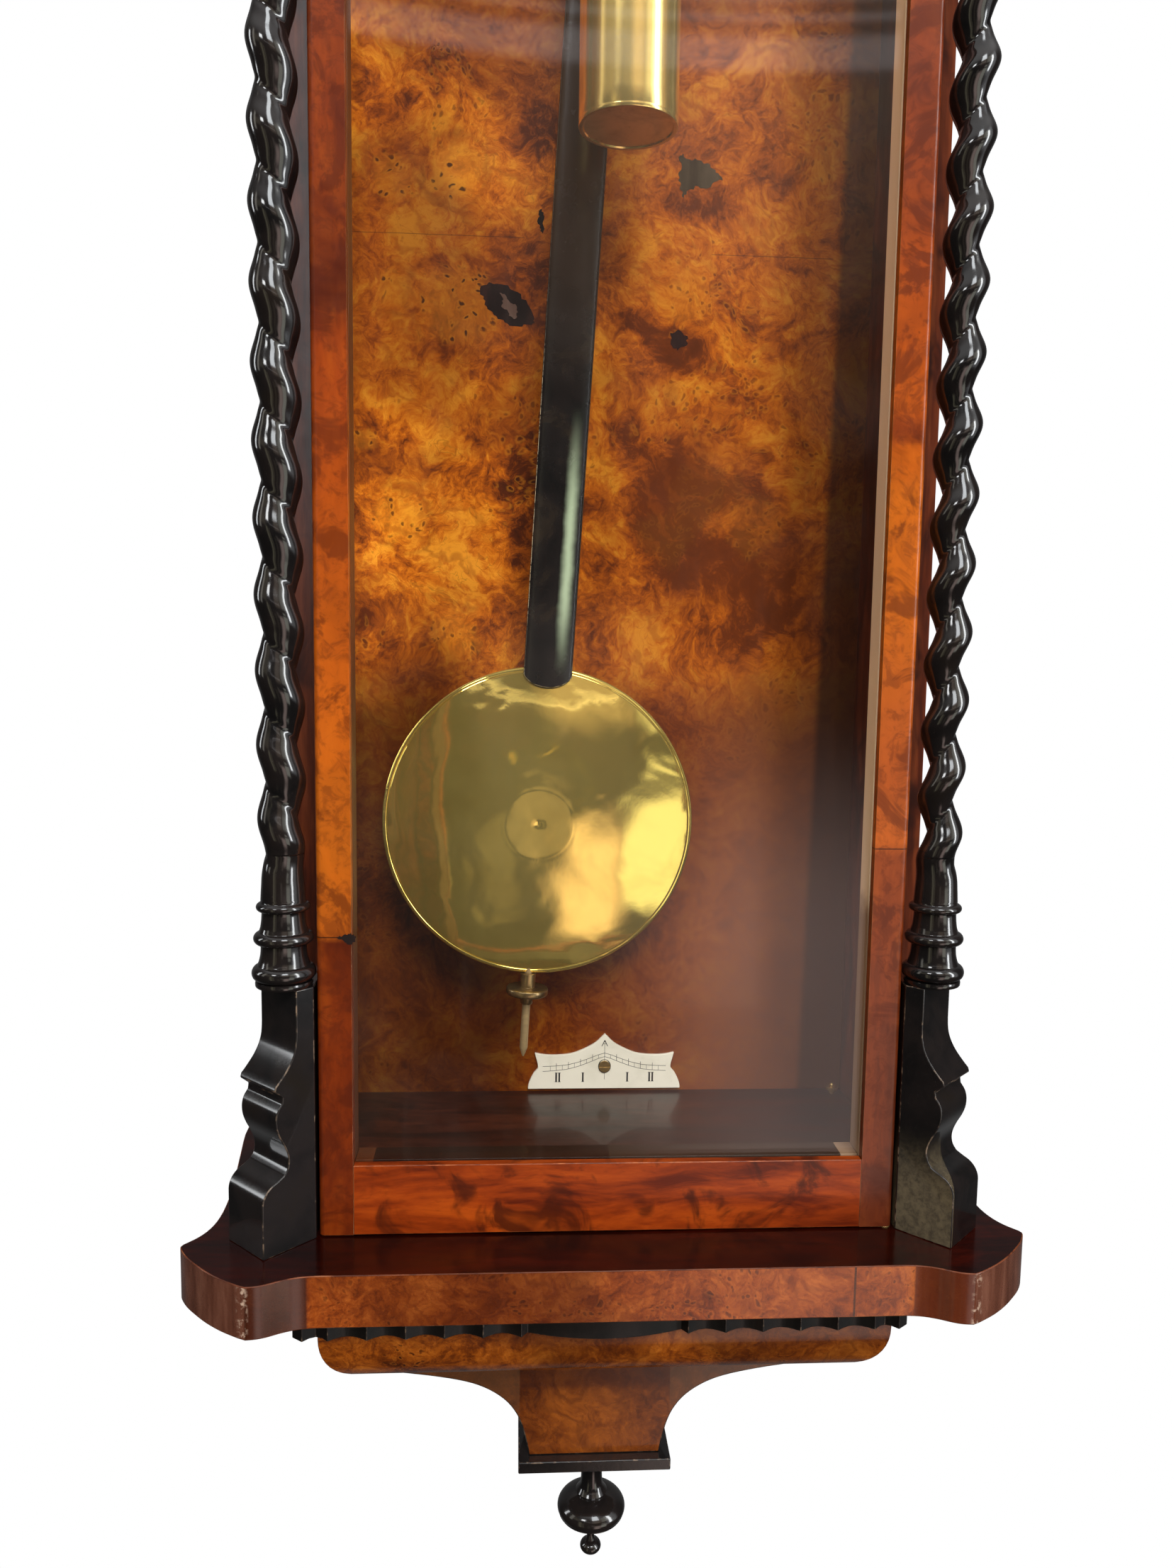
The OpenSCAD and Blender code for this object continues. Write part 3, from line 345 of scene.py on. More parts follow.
def ebony(name, wear=0.0, rough=0.17, coat=0.5, brown=(0.020, 0.011, 0.008), shade=None, soft=0.22):
    """Ebonised and polished wood, a little red-brown where it is thin, pale where an edge is rubbed."""
    g = Mat(name)
    v = g.map()
    n1 = g.noise(v, 38.0, 4.0, 0.6, 0.6)
    col = g.ramp(n1, [(0.35, (0.0045, 0.004, 0.004)), (0.55, (0.010, 0.0075, 0.007)), (0.75, brown)])
    if wear:
        edge = g.rng(g.noise(v, 130.0, 5.0, 0.72, 0.4), 0.50, 0.62, 0.0, wear, True)
        col = g.mix(edge, col, (0.20, 0.135, 0.090))
    dust = g.rng(g.noise(v, 1500.0, 2.0, 0.5), 0.70, 0.78, 0.0, 0.10)
    col = g.mix(dust, col, (0.25, 0.22, 0.20))
    if shade is not None:
        col = shade(g, col)
    g.set(Base_Color=col, Coat_Weight=coat, Coat_Roughness=0.05, IOR=1.42)
    g.put(g.p.inputs["Roughness"], g.math("ADD", rough, g.math("MULTIPLY", g.noise(v, 90.0, 4.0, 0.65), soft)))
    g.normal(g.bump(g.math("ADD", g.noise(v, 160.0, 4.0, 0.6, 0.3), g.math("MULTIPLY", g.noise(v, 700.0, 2.0, 0.6), 0.4)), 0.13, 0.0004))
    return g.m


def brass(name, base=(0.80, 0.56, 0.22), dull=(0.42, 0.27, 0.09), rough=0.16, tarnish=0.35, brushed=None, scale=1.0, metal=0.9, marks_to=0.10, ripple=0.0):
    """Brass with a soft tarnish and fine polishing marks."""
    g = Mat(name)
    v = g.map()
    t = g.noise(v, 26.0 * scale, 5.0, 0.62, 0.7)
    col = g.mix(g.rng(t, 0.40, 0.72, 0.0, tarnish, True), base, dull)
    spots = g.rng(g.noise(v, 240.0 * scale, 4.0, 0.7), 0.62, 0.74, 0.0, 0.55 * max(tarnish, 0.2))
    col = g.mix(spots, col, dull)
    g.set(Base_Color=col, Metallic=metal)
    marks = g.noise(v, 320.0 * scale, 3.0, 0.7)
    if brushed:
        m = g.n("Mapping")
        g.link(g.tc.outputs["Object"], m.inputs["Vector"])
        m.inputs["Scale"].default_value = brushed
        marks = g.noise(m.outputs[0], 420.0, 3.0, 0.6)
    r = g.math("ADD", rough, g.math("MULTIPLY", marks, marks_to))
    r = g.math("ADD", r, g.math("MULTIPLY", spots, 0.25))
    g.put(g.p.inputs["Roughness"], r)
    if ripple:
        h = g.math("ADD", g.math("MULTIPLY", g.noise(v, 30.0, 1.5, 0.5, 0.6), ripple), g.math("MULTIPLY", marks, 0.02))
        g.normal(g.bump(h, 1.0, 0.0009))
    else:
        g.normal(g.bump(g.math("ADD", marks, g.math("MULTIPLY", t, 0.8)), 0.05, 0.0004))
    return g.m


def steel(name, base=(0.50, 0.51, 0.54), rough=0.28):
    g = Mat(name)
    v = g.map()
    n1 = g.noise(v, 300.0, 4.0, 0.65)
    col = g.mix(g.rng(n1, 0.45, 0.75, 0.0, 0.4), base, (0.24, 0.235, 0.24))
    g.set(Base_Color=col, Metallic=1.0)
    g.put(g.p.inputs["Roughness"], g.math("ADD", rough, g.math("MULTIPLY", n1, 0.14)))
    g.normal(g.bump(n1, 0.06, 0.0003))
    return g.m


def enamel(name, base=(0.74, 0.70, 0.60), dirt=(0.45, 0.38, 0.27), rough=0.28, amount=0.35):
    g = Mat(name)
    v = g.map()
    n1 = g.noise(v, 30.0, 5.0, 0.6, 0.5)
    n2 = g.noise(v, 260.0, 4.0, 0.7)
    col = g.mix(g.rng(n1, 0.48, 0.74, 0.0, amount, True), base, dirt)
    col = g.mix(g.rng(n2, 0.62, 0.76, 0.0, 0.30), col, dirt)
    g.set(Base_Color=col, Coat_Weight=0.25, Coat_Roughness=0.12)
    g.put(g.p.inputs["Roughness"], g.math("ADD", rough, g.math("MULTIPLY", n2, 0.12)))
    g.normal(g.bump(n2, 0.05, 0.0003))
    return g.m


def paint(name, base, rough=0.35, var=0.25):
    g = Mat(name)
    v = g.map()
    n1 = g.noise(v, 220.0, 4.0, 0.6)
    col = g.mix(g.rng(n1, 0.40, 0.70, 0.0, var), base, [min(1.0, c * 2.2 + 0.01) for c in base])
    g.set(Base_Color=col)
    g.put(g.p.inputs["Roughness"], g.math("ADD", rough, g.math("MULTIPLY", n1, 0.15)))
    g.normal(g.bump(n1, 0.06, 0.0002))
    return g.m


def pane(name, tint=(0.993, 0.997, 0.995), haze=0.0035, streaks=True):
    """Old window glass that lets light straight through, with a faint film of dust and wiped streaks."""
    g = Mat(name)
    v = g.map()
    g.t.nodes.remove(g.p)
    tr = g.n("BsdfTransparent")
    tr.inputs[0].default_value = (*tint, 1.0)
    gl = g.n("BsdfGlossy")
    gl.inputs["Color"].default_value = (0.95, 0.97, 1.0, 1.0)
    gl.inputs["Roughness"].default_value = 0.03
    df = g.n("BsdfDiffuse")
    df.inputs["Color"].default_value = (0.60, 0.54, 0.48, 1.0)
    lw = g.n("LayerWeight")
    lw.inputs["Blend"].default_value = 0.5
    fres = g.math("MULTIPLY_ADD", g.math("POWER", lw.outputs["Facing"], 5.0), 0.95, 0.024)
    m1 = g.n("MixShader")
    g.link(fres, m1.inputs[0])
    g.link(tr.outputs[0], m1.inputs[1])
    g.link(gl.outputs[0], m1.inputs[2])
    film = g.rng(g.noise(v, 9.0, 5.0, 0.6, 0.8), 0.42, 0.75, haze * 0.3, haze * 2.2, True)
    if streaks:
        m = g.n("Mapping")
        g.link(g.tc.outputs["Object"], m.inputs["Vector"])
        m.inputs["Scale"].default_value = (1.0, 1.0, 0.08)
        film = g.math("ADD", film, g.rng(g.noise(m.outputs[0], 140.0, 3.0, 0.6), 0.58, 0.80, 0.0, haze * 1.3))
    m2 = g.n("MixShader")
    g.link(film, m2.inputs[0])
    g.link(m1.outputs[0], m2.inputs[1])
    g.link(df.outputs[0], m2.inputs[2])
    g.link(m2.outputs[0], g.out.inputs[0])
    return g.m


# tones of the veneers, dark to light, then the eyes
AMBER = [lin(92, 36, 2), lin(168, 80, 5), lin(214, 112, 10), lin(246, 158, 38), lin(36, 12, 3)]
RUSSET = [lin(60, 20, 3), lin(98, 38, 7), lin(130, 57, 13), lin(166, 86, 30), lin(28, 10, 4)]


def back_shade(g, col):
    """Painted shade on the board: browner to the right, darker low down and darkest low on the left, a paler painted
    haze reflection low on the right, and a painted shadow strip along its right edge cast by the door's right stile. It
    also has two fine joints in its veneer.
    """
    x, y, z = g.xyz()
    wob = g.math("MULTIPLY", g.math("SUBTRACT", g.noise(g.map(), 12.0, 4.0, 0.65, 0.5), 0.5), 0.10)
    # painted shade: browner, then darker still, towards the right
    right = g.rng(g.math("ADD", x, wob), -0.045, 0.015, 0.0, 1.0, True)
    col = g.mix(g.math("MULTIPLY", right, 0.42), col, lin(106, 46, 6))
    far_right_painted_shade = g.rng(g.math("ADD", x, wob), 0.06, 0.12, 0.0, 0.30, True)
    col = g.mix(far_right_painted_shade, col, lin(96, 40, 6))
    # painted shade low down, with a paler painted haze reflection on the right and deeper painted shade on the left
    low = g.rng(g.math("ADD", z, g.math("MULTIPLY", wob, 0.5)), -0.672, -0.725, 0.0, 1.0, True)
    col = g.mix(g.math("MULTIPLY", low, 0.70), col, lin(78, 25, 3))
    low_right_painted_haze = g.math("MULTIPLY", low, g.rng(x, 0.02, 0.09, 0.0, 0.45, True))
    col = g.mix(low_right_painted_haze, col, lin(124, 74, 46))
    low_left_painted_shade = g.math("MULTIPLY", low, g.rng(x, -0.02, -0.07, 0.0, 0.55, True))
    col = g.mix(low_left_painted_shade, col, lin(30, 9, 1))
    # painted shadow strip along the right edge, cast by the door's right stile
    edge = g.rng(g.math("ADD", x, g.math("MULTIPLY", z, -0.016)), 0.1345, 0.1400, 0.0, 0.72, True)
    col = g.mix(edge, col, lin(34, 15, 6))
    for zz, x0, x1 in ((505.6, -141.0, -45.0), (500.4, 58.0, 126.0)):
        on = g.math("MULTIPLY", g.math("GREATER_THAN", x, x0 * 0.001), g.math("LESS_THAN", x, x1 * 0.001))
        ln = g.math("COMPARE", g.math("ADD", z, g.math("MULTIPLY", wob, 0.012)), (zz - 956.0) * 0.001, 0.00022)
        col = g.mix(g.math("MULTIPLY", g.math("MULTIPLY", on, ln), 0.55), col, lin(48, 22, 8))
    return col


def bracket_shade(g, col):
    """The lower right bracket's front face is coloured a mottled pale grey near the platform."""
    x, y, z = g.xyz()
    zone = g.math("MULTIPLY", g.math("GREATER_THAN", x, 0.120), g.rng(z, -0.936, -0.900, 1.0, 0.0, True))
    zone = g.math("MULTIPLY", zone, g.math("LESS_THAN", x, 0.1625))
    mott = g.rng(g.noise(g.map(), 260.0, 4.0, 0.72, 0.3), 0.30, 0.66, 0.35, 1.0, True)
    return g.mix(g.math("MULTIPLY", g.math("MULTIPLY", zone, mott), 0.75), col, lin(104, 92, 70))


def rod_u(g):
    """Distance across the rod from its own middle line, in metres; the rod is stored leaning 3.1 degrees."""
    x, y, z = g.xyz()
    return g.math("ADD", x, g.math("MULTIPLY", g.math("SUBTRACT", -0.118, z), 0.05416)), z


def rod_shade(g, col):
    """Brown where the black has worn thin near the top, and a painted greenish-grey sheen, a highlight, near the lower
    end.
    """
    u, z = rod_u(g)
    col = g.mix(g.rng(z, -0.56, -0.36, 0.0, 0.80, True), col, lin(64, 42, 24))
    # painted sheen: a soft highlight band right of the rod's middle line near its lower end
    n = g.math("MULTIPLY", g.math("SUBTRACT", g.noise(g.map(), 60.0, 3.0, 0.6), 0.5), 0.004)
    across = g.math("ABSOLUTE", g.math("SUBTRACT", g.math("ADD", u, n), 0.0066))
    painted_sheen = g.math("MULTIPLY", g.rng(across, 0.0, 0.0046, 1.0, 0.0, True), g.math("MULTIPLY", g.rng(z, -0.690, -0.640, 0.0, 1.0, True), g.rng(z, -0.610, -0.545, 1.0, 0.0, True)))
    return g.mix(g.math("MULTIPLY", painted_sheen, 0.92), col, lin(176, 192, 160))


def rod_edge_shade(g, col):
    """Rubbed through to pale wood in dots along the left arris, and round the lower end."""
    u, z = rod_u(g)
    n = g.rng(g.noise(g.map(), 520.0, 3.0, 0.7), 0.42, 0.52, 0.0, 1.0)
    zone = g.math("MULTIPLY", g.rng(z, -0.665, -0.645, 0.15, 1.0, True), g.rng(z, -0.555, -0.500, 1.0, 0.10, True))
    zone = g.math("MULTIPLY", zone, g.rng(u, -0.002, 0.002, 1.0, 0.10))
    zone = g.math("MAXIMUM", zone, g.rng(z, -0.680, -0.686, 0.0, 0.8))
    return g.mix(g.math("MULTIPLY", g.math("MULTIPLY", n, zone), 0.95), col, lin(236, 218, 180))


def bead_shade(g, col):
    """Painted light and shade: the beads right of the glass are painted pale as if lit, those on the left painted
    darker as if in shade, darker low down, and the bottom bead painted near-black as if in shade.
    """
    x, y, z = g.xyz()
    # painted light: the beads on the right side painted pale as if lit
    col = g.mix(g.math("MULTIPLY", g.math("GREATER_THAN", x, 0.0), 0.95), col, lin(255, 224, 186))
    low = g.rng(g.math("ADD", z, g.math("MULTIPLY", g.noise(g.map(), 60.0, 3.0, 0.6), 0.02)), -0.775, -0.795, 0.0, 0.75, True)
    col = g.mix(low, col, lin(92, 56, 34))
    # painted shade on the left beads
    col = g.mix(g.math("MULTIPLY", g.math("LESS_THAN", x, 0.0), 0.85), col, lin(74, 34, 14))
    # painted shade on the bottom bead
    bottom = g.math("MULTIPLY", g.math("LESS_THAN", g.math("ABSOLUTE", x), 0.1150), g.math("LESS_THAN", z, -0.860))
    return g.mix(g.math("MULTIPLY", bottom, 0.93), col, lin(26, 12, 7))


def platform_shade(g, col):
    """Past the burr, each scooped end has a smooth dark piece and then a greyish cross-grain one, rubbed white at the corner."""
    x, y, z = g.xyz()
    ax = g.math("ABSOLUTE", x)
    grain = g.n("Mapping")
    g.link(g.tc.outputs["Object"], grain.inputs["Vector"])
    grain.inputs["Scale"].default_value = (1.0, 1.0, 0.16)
    f = g.noise(grain.outputs[0], 110.0, 4.0, 0.65, 0.4)
    cross = g.ramp(f, [(0.35, lin(70, 38, 26)), (0.52, lin(92, 54, 40)), (0.68, lin(112, 72, 56))])
    plain = g.mix(g.math("GREATER_THAN", x, 0.0), lin(54, 22, 10), lin(88, 38, 20))
    plain = g.mix(g.rng(f, 0.40, 0.66, 0.0, 0.4), plain, lin(40, 14, 7))
    col = g.mix(g.rng(ax, 0.1392, 0.1402, 0.0, 0.92), col, plain)
    col = g.mix(g.rng(ax, 0.1652, 0.1660, 0.0, 0.95), col, cross)
    joint = g.math("COMPARE", x, 0.1115, 0.0005)
    col = g.mix(g.math("MULTIPLY", joint, 0.8), col, (0.015, 0.006, 0.003))
    rub = g.math("MULTIPLY", g.math("MULTIPLY", g.rng(ax, 0.1636, 0.1658, 0.0, 1.0), g.rng(ax, 0.1700, 0.1668, 0.0, 1.0)), g.rng(g.noise(g.map(), 240.0, 4.0, 0.7), 0.50, 0.60, 0.0, 1.0))
    return g.mix(g.math("MULTIPLY", rub, 0.70), col, lin(206, 178, 156))


def pendant_shade(g, col):
    """Painted highlight in the hollows at each side, paler and greyer towards the top, and a band of painted shade
    along the top.
    """
    x, y, z = g.xyz()
    dx = g.math("ABSOLUTE", g.math("ADD", x, 0.0025))
    side = g.math("GREATER_THAN", dx, 0.0403)
    # painted highlight on the side hollows
    up = g.rng(z, -1.105, -1.040, 0.0, 0.55, True)
    col = g.mix(g.math("MULTIPLY", side, up), col, lin(112, 78, 52))
    # painted shade band along the top
    band = g.math("MULTIPLY", g.math("LESS_THAN", dx, 0.0403), g.math("MULTIPLY", g.rng(z, -1.068, -1.064, 0.0, 1.0, True), g.rng(z, -1.057, -1.053, 1.0, 0.0, True)))
    return g.mix(g.math("MULTIPLY", band, 0.55), col, lin(66, 26, 8))


LEFT_STILE = [(0, (92, 30, 5)), (86, (98, 32, 5)), (138, (104, 38, 6)), (145.6, (84, 28, 6)), (146.6, (60, 20, 6)), (147.6, (196, 98, 18)), (188, (204, 106, 20)), (253, (198, 98, 18)), (292, (186, 88, 14)),
              (348, (172, 76, 10)), (404, (150, 60, 8)), (420, (122, 44, 6)), (430, (70, 18, 4)), (443, (76, 22, 5)), (452, (102, 38, 8)), (470, (104, 38, 8)), (508, (110, 42, 10)), (532, (130, 54, 14)), (560, (118, 50, 14)), (898, (122, 50, 14))]
RIGHT_STILE = [(0, (90, 44, 28)), (84, (92, 46, 28)), (120, (104, 50, 28)), (155, (122, 56, 24)), (189, (132, 62, 26)), (190.2, (196, 98, 30)), (223, (174, 84, 30)), (257, (192, 96, 30)), (296, (206, 106, 22)), (355, (208, 108, 16)),
               (372, (192, 92, 12)), (380, (118, 48, 7)), (388, (128, 52, 7)), (396, (190, 88, 12)), (424, (176, 78, 12)), (479, (150, 64, 16)), (539, (130, 54, 18)), (568, (116, 48, 16)), (898, (116, 48, 16))]


def stile_shade(g, col):
    """The stain changes along each stile: dark smoky bands, bright amber lengths, and red-brown wood below a joint."""
    x, y, z = g.xyz()
    n = g.math("SUBTRACT", g.noise(g.map(), 45.0, 4.0, 0.65, 0.8), 0.5)
    joints = g.math("MAXIMUM", g.math("COMPARE", z, -0.8094, 0.010), g.math("COMPARE", z, -0.7658, 0.010))
    zz = g.math("ADD", z, g.math("MULTIPLY", g.math("MULTIPLY", n, 0.030), g.math("SUBTRACT", 1.0, joints)))
    a = g.zramp(zz, [(h, lin(*c)) for h, c in LEFT_STILE])
    b = g.zramp(zz, [(h, lin(*c)) for h, c in RIGHT_STILE])
    tone = g.mix(g.math("GREATER_THAN", x, 0.0), a, b)
    dim = g.n("VectorMath", operation="SCALE")
    g.link(tone, dim.inputs[0])
    dim.inputs["Scale"].default_value = 0.74
    col = g.mix(0.76, col, dim.outputs[0])
    v = g.map()
    mott = g.rng(g.noise(v, 120.0, 4.0, 0.68, 0.8), 0.46, 0.64, 0.0, 0.42, True)
    smoke = g.rng(g.noise(v, 30.0, 4.0, 0.66, 1.4), 0.51, 0.62, 0.0, 0.62, True)
    col = g.mix(g.math("MAXIMUM", mott, smoke), col, lin(66, 19, 4))
    j = g.math("MAXIMUM", g.math("MULTIPLY", g.math("GREATER_THAN", x, 0.0), g.math("COMPARE", z, -0.7662, 0.0003)), g.math("MULTIPLY", g.math("LESS_THAN", x, 0.0), g.math("COMPARE", z, -0.8092, 0.0003)))
    return g.mix(g.math("MULTIPLY", j, 0.8), col, lin(34, 12, 5))


MT = {}
MT["burr_back"] = burr("burr_back", AMBER, 1.0, shade=back_shade, rough=0.30, coat=0.20, crisp=1.25,
                       clusters=[(-84, 539, 18, 1.0), (-119, 535, 14, 0.9), (-80, 471, 23, 1.0), (-112, 474, 13, 0.9), (-115, 354, 15, 0.8), (-132, 392, 9, 0.9), (-83, 290, 16, 0.7),
                                 (44, 480, 18, 0.6), (60, 372, 26, 0.25), (36, 348, 18, 0.2), (86, 350, 20, 0.5), (100, 250, 26, 0.5), (-91, 567, 10, 0.6)],
                       darks=[(44, 448, 52, 11, 32, 0.75), (-45, 366, 17, 55, 0, 0.60), (56, 334, 55, 20, 8, 0.75), (38, 368, 34, 32, 0, 1.15), (66, 372, 40, 14, 15, 0.55), (-49, 488, 26, 22, 20, 0.55), (52, 526, 30, 14, 10, 0.45), (-30, 560, 30, 22, 0, 0.55),
                              (20, 400, 30, 12, 25, 0.45), (110, 455, 24, 9, -20, 0.35), (-128, 300, 20, 30, 10, 0.45), (90, 300, 40, 20, -10, 0.5)],
                       lights=[(-96, 430, 30, 18, 15, 0.6), (-78, 330, 26, 40, 10, 0.5), (-102, 504, 32, 14, 0, 0.8), (-92, 560, 30, 10, 0, 0.4), (-95, 395, 22, 16, 0, 0.5), (92, 400, 30, 10, 28, 0.4), (104, 480, 22, 14, 0, 0.35)])
MT["burr_edge"] = burr("burr_edge", RUSSET, 1.25, seed=(0.4, 0.1, 0.2), eyes=0.6, shade=platform_shade)
MT["burr_apron"] = burr("burr_apron", [lin(62, 25, 4), lin(108, 48, 8), lin(150, 75, 15), lin(188, 106, 32), lin(28, 11, 4)], 1.35, seed=(1.4, 0.6, 0.2), eyes=0.8)
MT["burr_pendant"] = burr("burr_pendant", [lin(44, 14, 1), lin(78, 32, 2), lin(104, 48, 5), lin(136, 70, 14), lin(30, 10, 3)], 0.9, seed=(2.4, 0.3, 1.2), eyes=0.35, shade=pendant_shade)
MT["burr_head"] = burr("burr_head", RUSSET, 1.0, seed=(3.4, 1.3, 0.7))
MT["stile"] = streaky("stile", lin(104, 34, 4), lin(158, 62, 8), lin(198, 94, 18), lin(84, 24, 4), "Z", shade=stile_shade, coat=0.08)
MT["rail"] = streaky("rail", lin(80, 22, 3), lin(128, 46, 6), lin(162, 68, 12), lin(52, 14, 3), "X", seed=(2.7, 0.6, 1.4), blots=0.85, blot_scale=34.0, coat=0.08)
MT["walnut_side"] = streaky("walnut_side", lin(58, 20, 7), lin(92, 36, 13), lin(124, 58, 26), lin(48, 16, 6), "Z", seed=(1.7, 0.8, 0.1))
MT["walnut_in"] = streaky("walnut_in", lin(30, 11, 6), lin(48, 19, 10), lin(68, 29, 15), lin(26, 9, 6), "X", seed=(0.3, 1.8, 0.1), rough=0.30)
MT["oxblood"] = streaky("oxblood", lin(18, 2, 1), lin(34, 4, 1), lin(50, 8, 2), lin(17, 3, 2), "X", seed=(0.9, 0.2, 0.6), rough=0.14, coat=0.25, blots=0.6)
MT["cornice_wood"] = streaky("cornice_wood", lin(58, 22, 8), lin(96, 40, 12), lin(126, 58, 20), lin(48, 18, 8), "X", seed=(0.2, 0.9, 2.6))
MT["bare_wood"] = streaky("bare_wood", lin(110, 74, 44), lin(150, 108, 68), lin(182, 140, 94), lin(96, 62, 36), "Z", seed=(2.2, 0.4, 0.6), rough=0.55, coat=0.0, blots=0.4)
MT["bead"] = streaky("bead", lin(112, 70, 40), lin(152, 104, 64), lin(186, 138, 92), lin(100, 58, 30), "Z", seed=(0.2, 2.4, 0.6), rough=0.36, coat=0.10, blots=0.35, shade=bead_shade)
MT["worn_edge"] = streaky("worn_edge", lin(112, 56, 26), lin(206, 168, 118), lin(238, 218, 178), lin(92, 40, 16), "Z", seed=(0.2, 0.4, 0.9), rough=0.40, coat=0.1, blots=0.9, blot_scale=90.0)
MT["edge_brown"] = streaky("edge_brown", lin(60, 24, 8), lin(104, 52, 26), lin(150, 98, 66), lin(50, 16, 6), "X", seed=(0.5, 1.4, 0.9), rough=0.32, coat=0.2, blots=0.8, blot_scale=60.0)
MT["soft_edge"] = streaky("soft_edge", lin(84, 32, 12), lin(128, 60, 26), lin(160, 90, 46), lin(60, 20, 8), "Z", seed=(0.5, 0.4, 0.9), rough=0.30, coat=0.3, blots=0.7, blot_scale=50.0)
MT["ebony"] = ebony("ebony", rough=0.10, coat=0.9, brown=(0.010, 0.007, 0.005), soft=0.10)
MT["ebony_edge"] = ebony("ebony_edge", wear=0.75, rough=0.30)
MT["ebony_bracket"] = ebony("ebony_bracket", rough=0.14, coat=0.7, brown=(0.010, 0.007, 0.005), soft=0.14, shade=bracket_shade)
MT["ebony_rod"] = ebony("ebony_rod", rough=0.20, coat=0.05, brown=(0.030, 0.020, 0.012), shade=rod_shade, soft=0.12)
MT["rod_edge"] = ebony("rod_edge", rough=0.35, coat=0.1, shade=rod_edge_shade)
MT["ebony_dull"] = ebony("ebony_dull", rough=0.45, coat=0.1)
MT["brass"] = brass("brass")
MT["brass_weight"] = brass("brass_weight", base=(0.96, 0.70, 0.25), rough=0.15, tarnish=0.20, brushed=(1.0, 1.0, 0.03), metal=0.86)
MT["brass_dull"] = brass("brass_dull", base=(0.62, 0.44, 0.22), dull=(0.26, 0.18, 0.10), rough=0.38, tarnish=0.8, scale=1.6, metal=0.6)
MT["brass_bob"] = brass("brass_bob", base=(0.90, 0.67, 0.17), dull=(0.62, 0.42, 0.08), rough=0.06, tarnish=0.45, metal=0.86, marks_to=0.05, ripple=1.0)
MT["brass_plate"] = brass("brass_plate", base=(0.82, 0.60, 0.26), rough=0.24, tarnish=0.25, brushed=(1.0, 1.0, 0.05))
MT["bronze"] = brass("bronze", base=(0.40, 0.27, 0.12), dull=(0.14, 0.09, 0.05), rough=0.26, tarnish=0.8, scale=3.0)
MT["steel"] = steel("steel")
MT["iron"] = paint("iron", (0.018, 0.018, 0.019), 0.5)
MT["enamel"] = enamel("enamel")
MT["ivory"] = enamel("ivory", (0.90, 0.84, 0.70), (0.50, 0.47, 0.34), 0.24, 0.45)
MT["ink"] = paint("ink", (0.016, 0.014, 0.012), 0.45, 0.5)
MT["hand"] = paint("hand", (0.010, 0.011, 0.014), 0.22, 0.2)
MT["gut"] = paint("gut", (0.42, 0.30, 0.15), 0.5, 0.4)
MT["glass"] = pane("glass")
MT["glass_side"] = pane("glass_side", haze=0.006, streaks=False)
MT["chip"] = streaky("chip", lin(24, 10, 8), lin(40, 18, 13), lin(60, 30, 20), lin(22, 10, 8), "Z", rough=0.6, coat=0.0)
MT["chip_grey"] = streaky("chip_grey", lin(52, 38, 26), lin(68, 56, 42), lin(84, 70, 54), lin(44, 30, 20), "Z", rough=0.6, coat=0.0)
MT["chip_pale"] = streaky("chip_pale", lin(96, 74, 64), lin(124, 100, 88), lin(150, 126, 110), lin(90, 66, 56), "Z", rough=0.6, coat=0.0)
MT["filler"] = paint("filler", (0.62, 0.58, 0.50), 0.6, 0.3)


# ------------------------------------------------------------------ mesh helpers
def link_ob(name, me):
    ob = bpy.data.objects.new(name, me)
    bpy.context.scene.collection.objects.link(ob)
    return ob


def bake_mods(ob):
    dg = bpy.context.evaluated_depsgraph_get()
    me = bpy.data.meshes.new_from_object(ob.evaluated_get(dg))
    ob.modifiers.clear()
    old = ob.data
    ob.data = me
    me.name = ob.name
    bpy.data.meshes.remove(old)


def smooth_by(me, angle=40.0):
    bm = bmesh.new()
    bm.from_mesh(me)
    lim = math.radians(angle)
    for f in bm.faces:
        f.smooth = True
    for e in bm.edges:
        e.smooth = len(e.link_faces) == 2 and e.calc_face_angle(0.0) < lim
    bm.to_mesh(me)
    bm.free()


def finish_ob(ob, mats, bevel=0.0, seg=2, angle=32.0, wear=False, smooth=40.0):
    kept = [f.material_index for f in ob.data.polygons]
    ob.data.materials.clear()
    for m in mats:
        ob.data.materials.append(MT[m])
    for f, k in zip(ob.data.polygons, kept):
        f.material_index = k
    if bevel:
        md = ob.modifiers.new("bevel", "BEVEL")
        md.width = bevel * 0.001
        md.segments = seg
        md.limit_method = "ANGLE"
        md.angle_limit = math.radians(angle)
        md.use_clamp_overlap = True
        if wear:
            md.material = len(mats) - 1
        smooth_by(ob.data, 60.0)
        wn = ob.modifiers.new("wn", "WEIGHTED_NORMAL")
        wn.keep_sharp = True
        wn.weight = 60
        bake_mods(ob)
    else:
        smooth_by(ob.data, smooth)


def settle(ob, node, body=None, replaced=None):
    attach(ob, body or BODY_OF[node])
    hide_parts(*(replaced or [node]))
    return ob


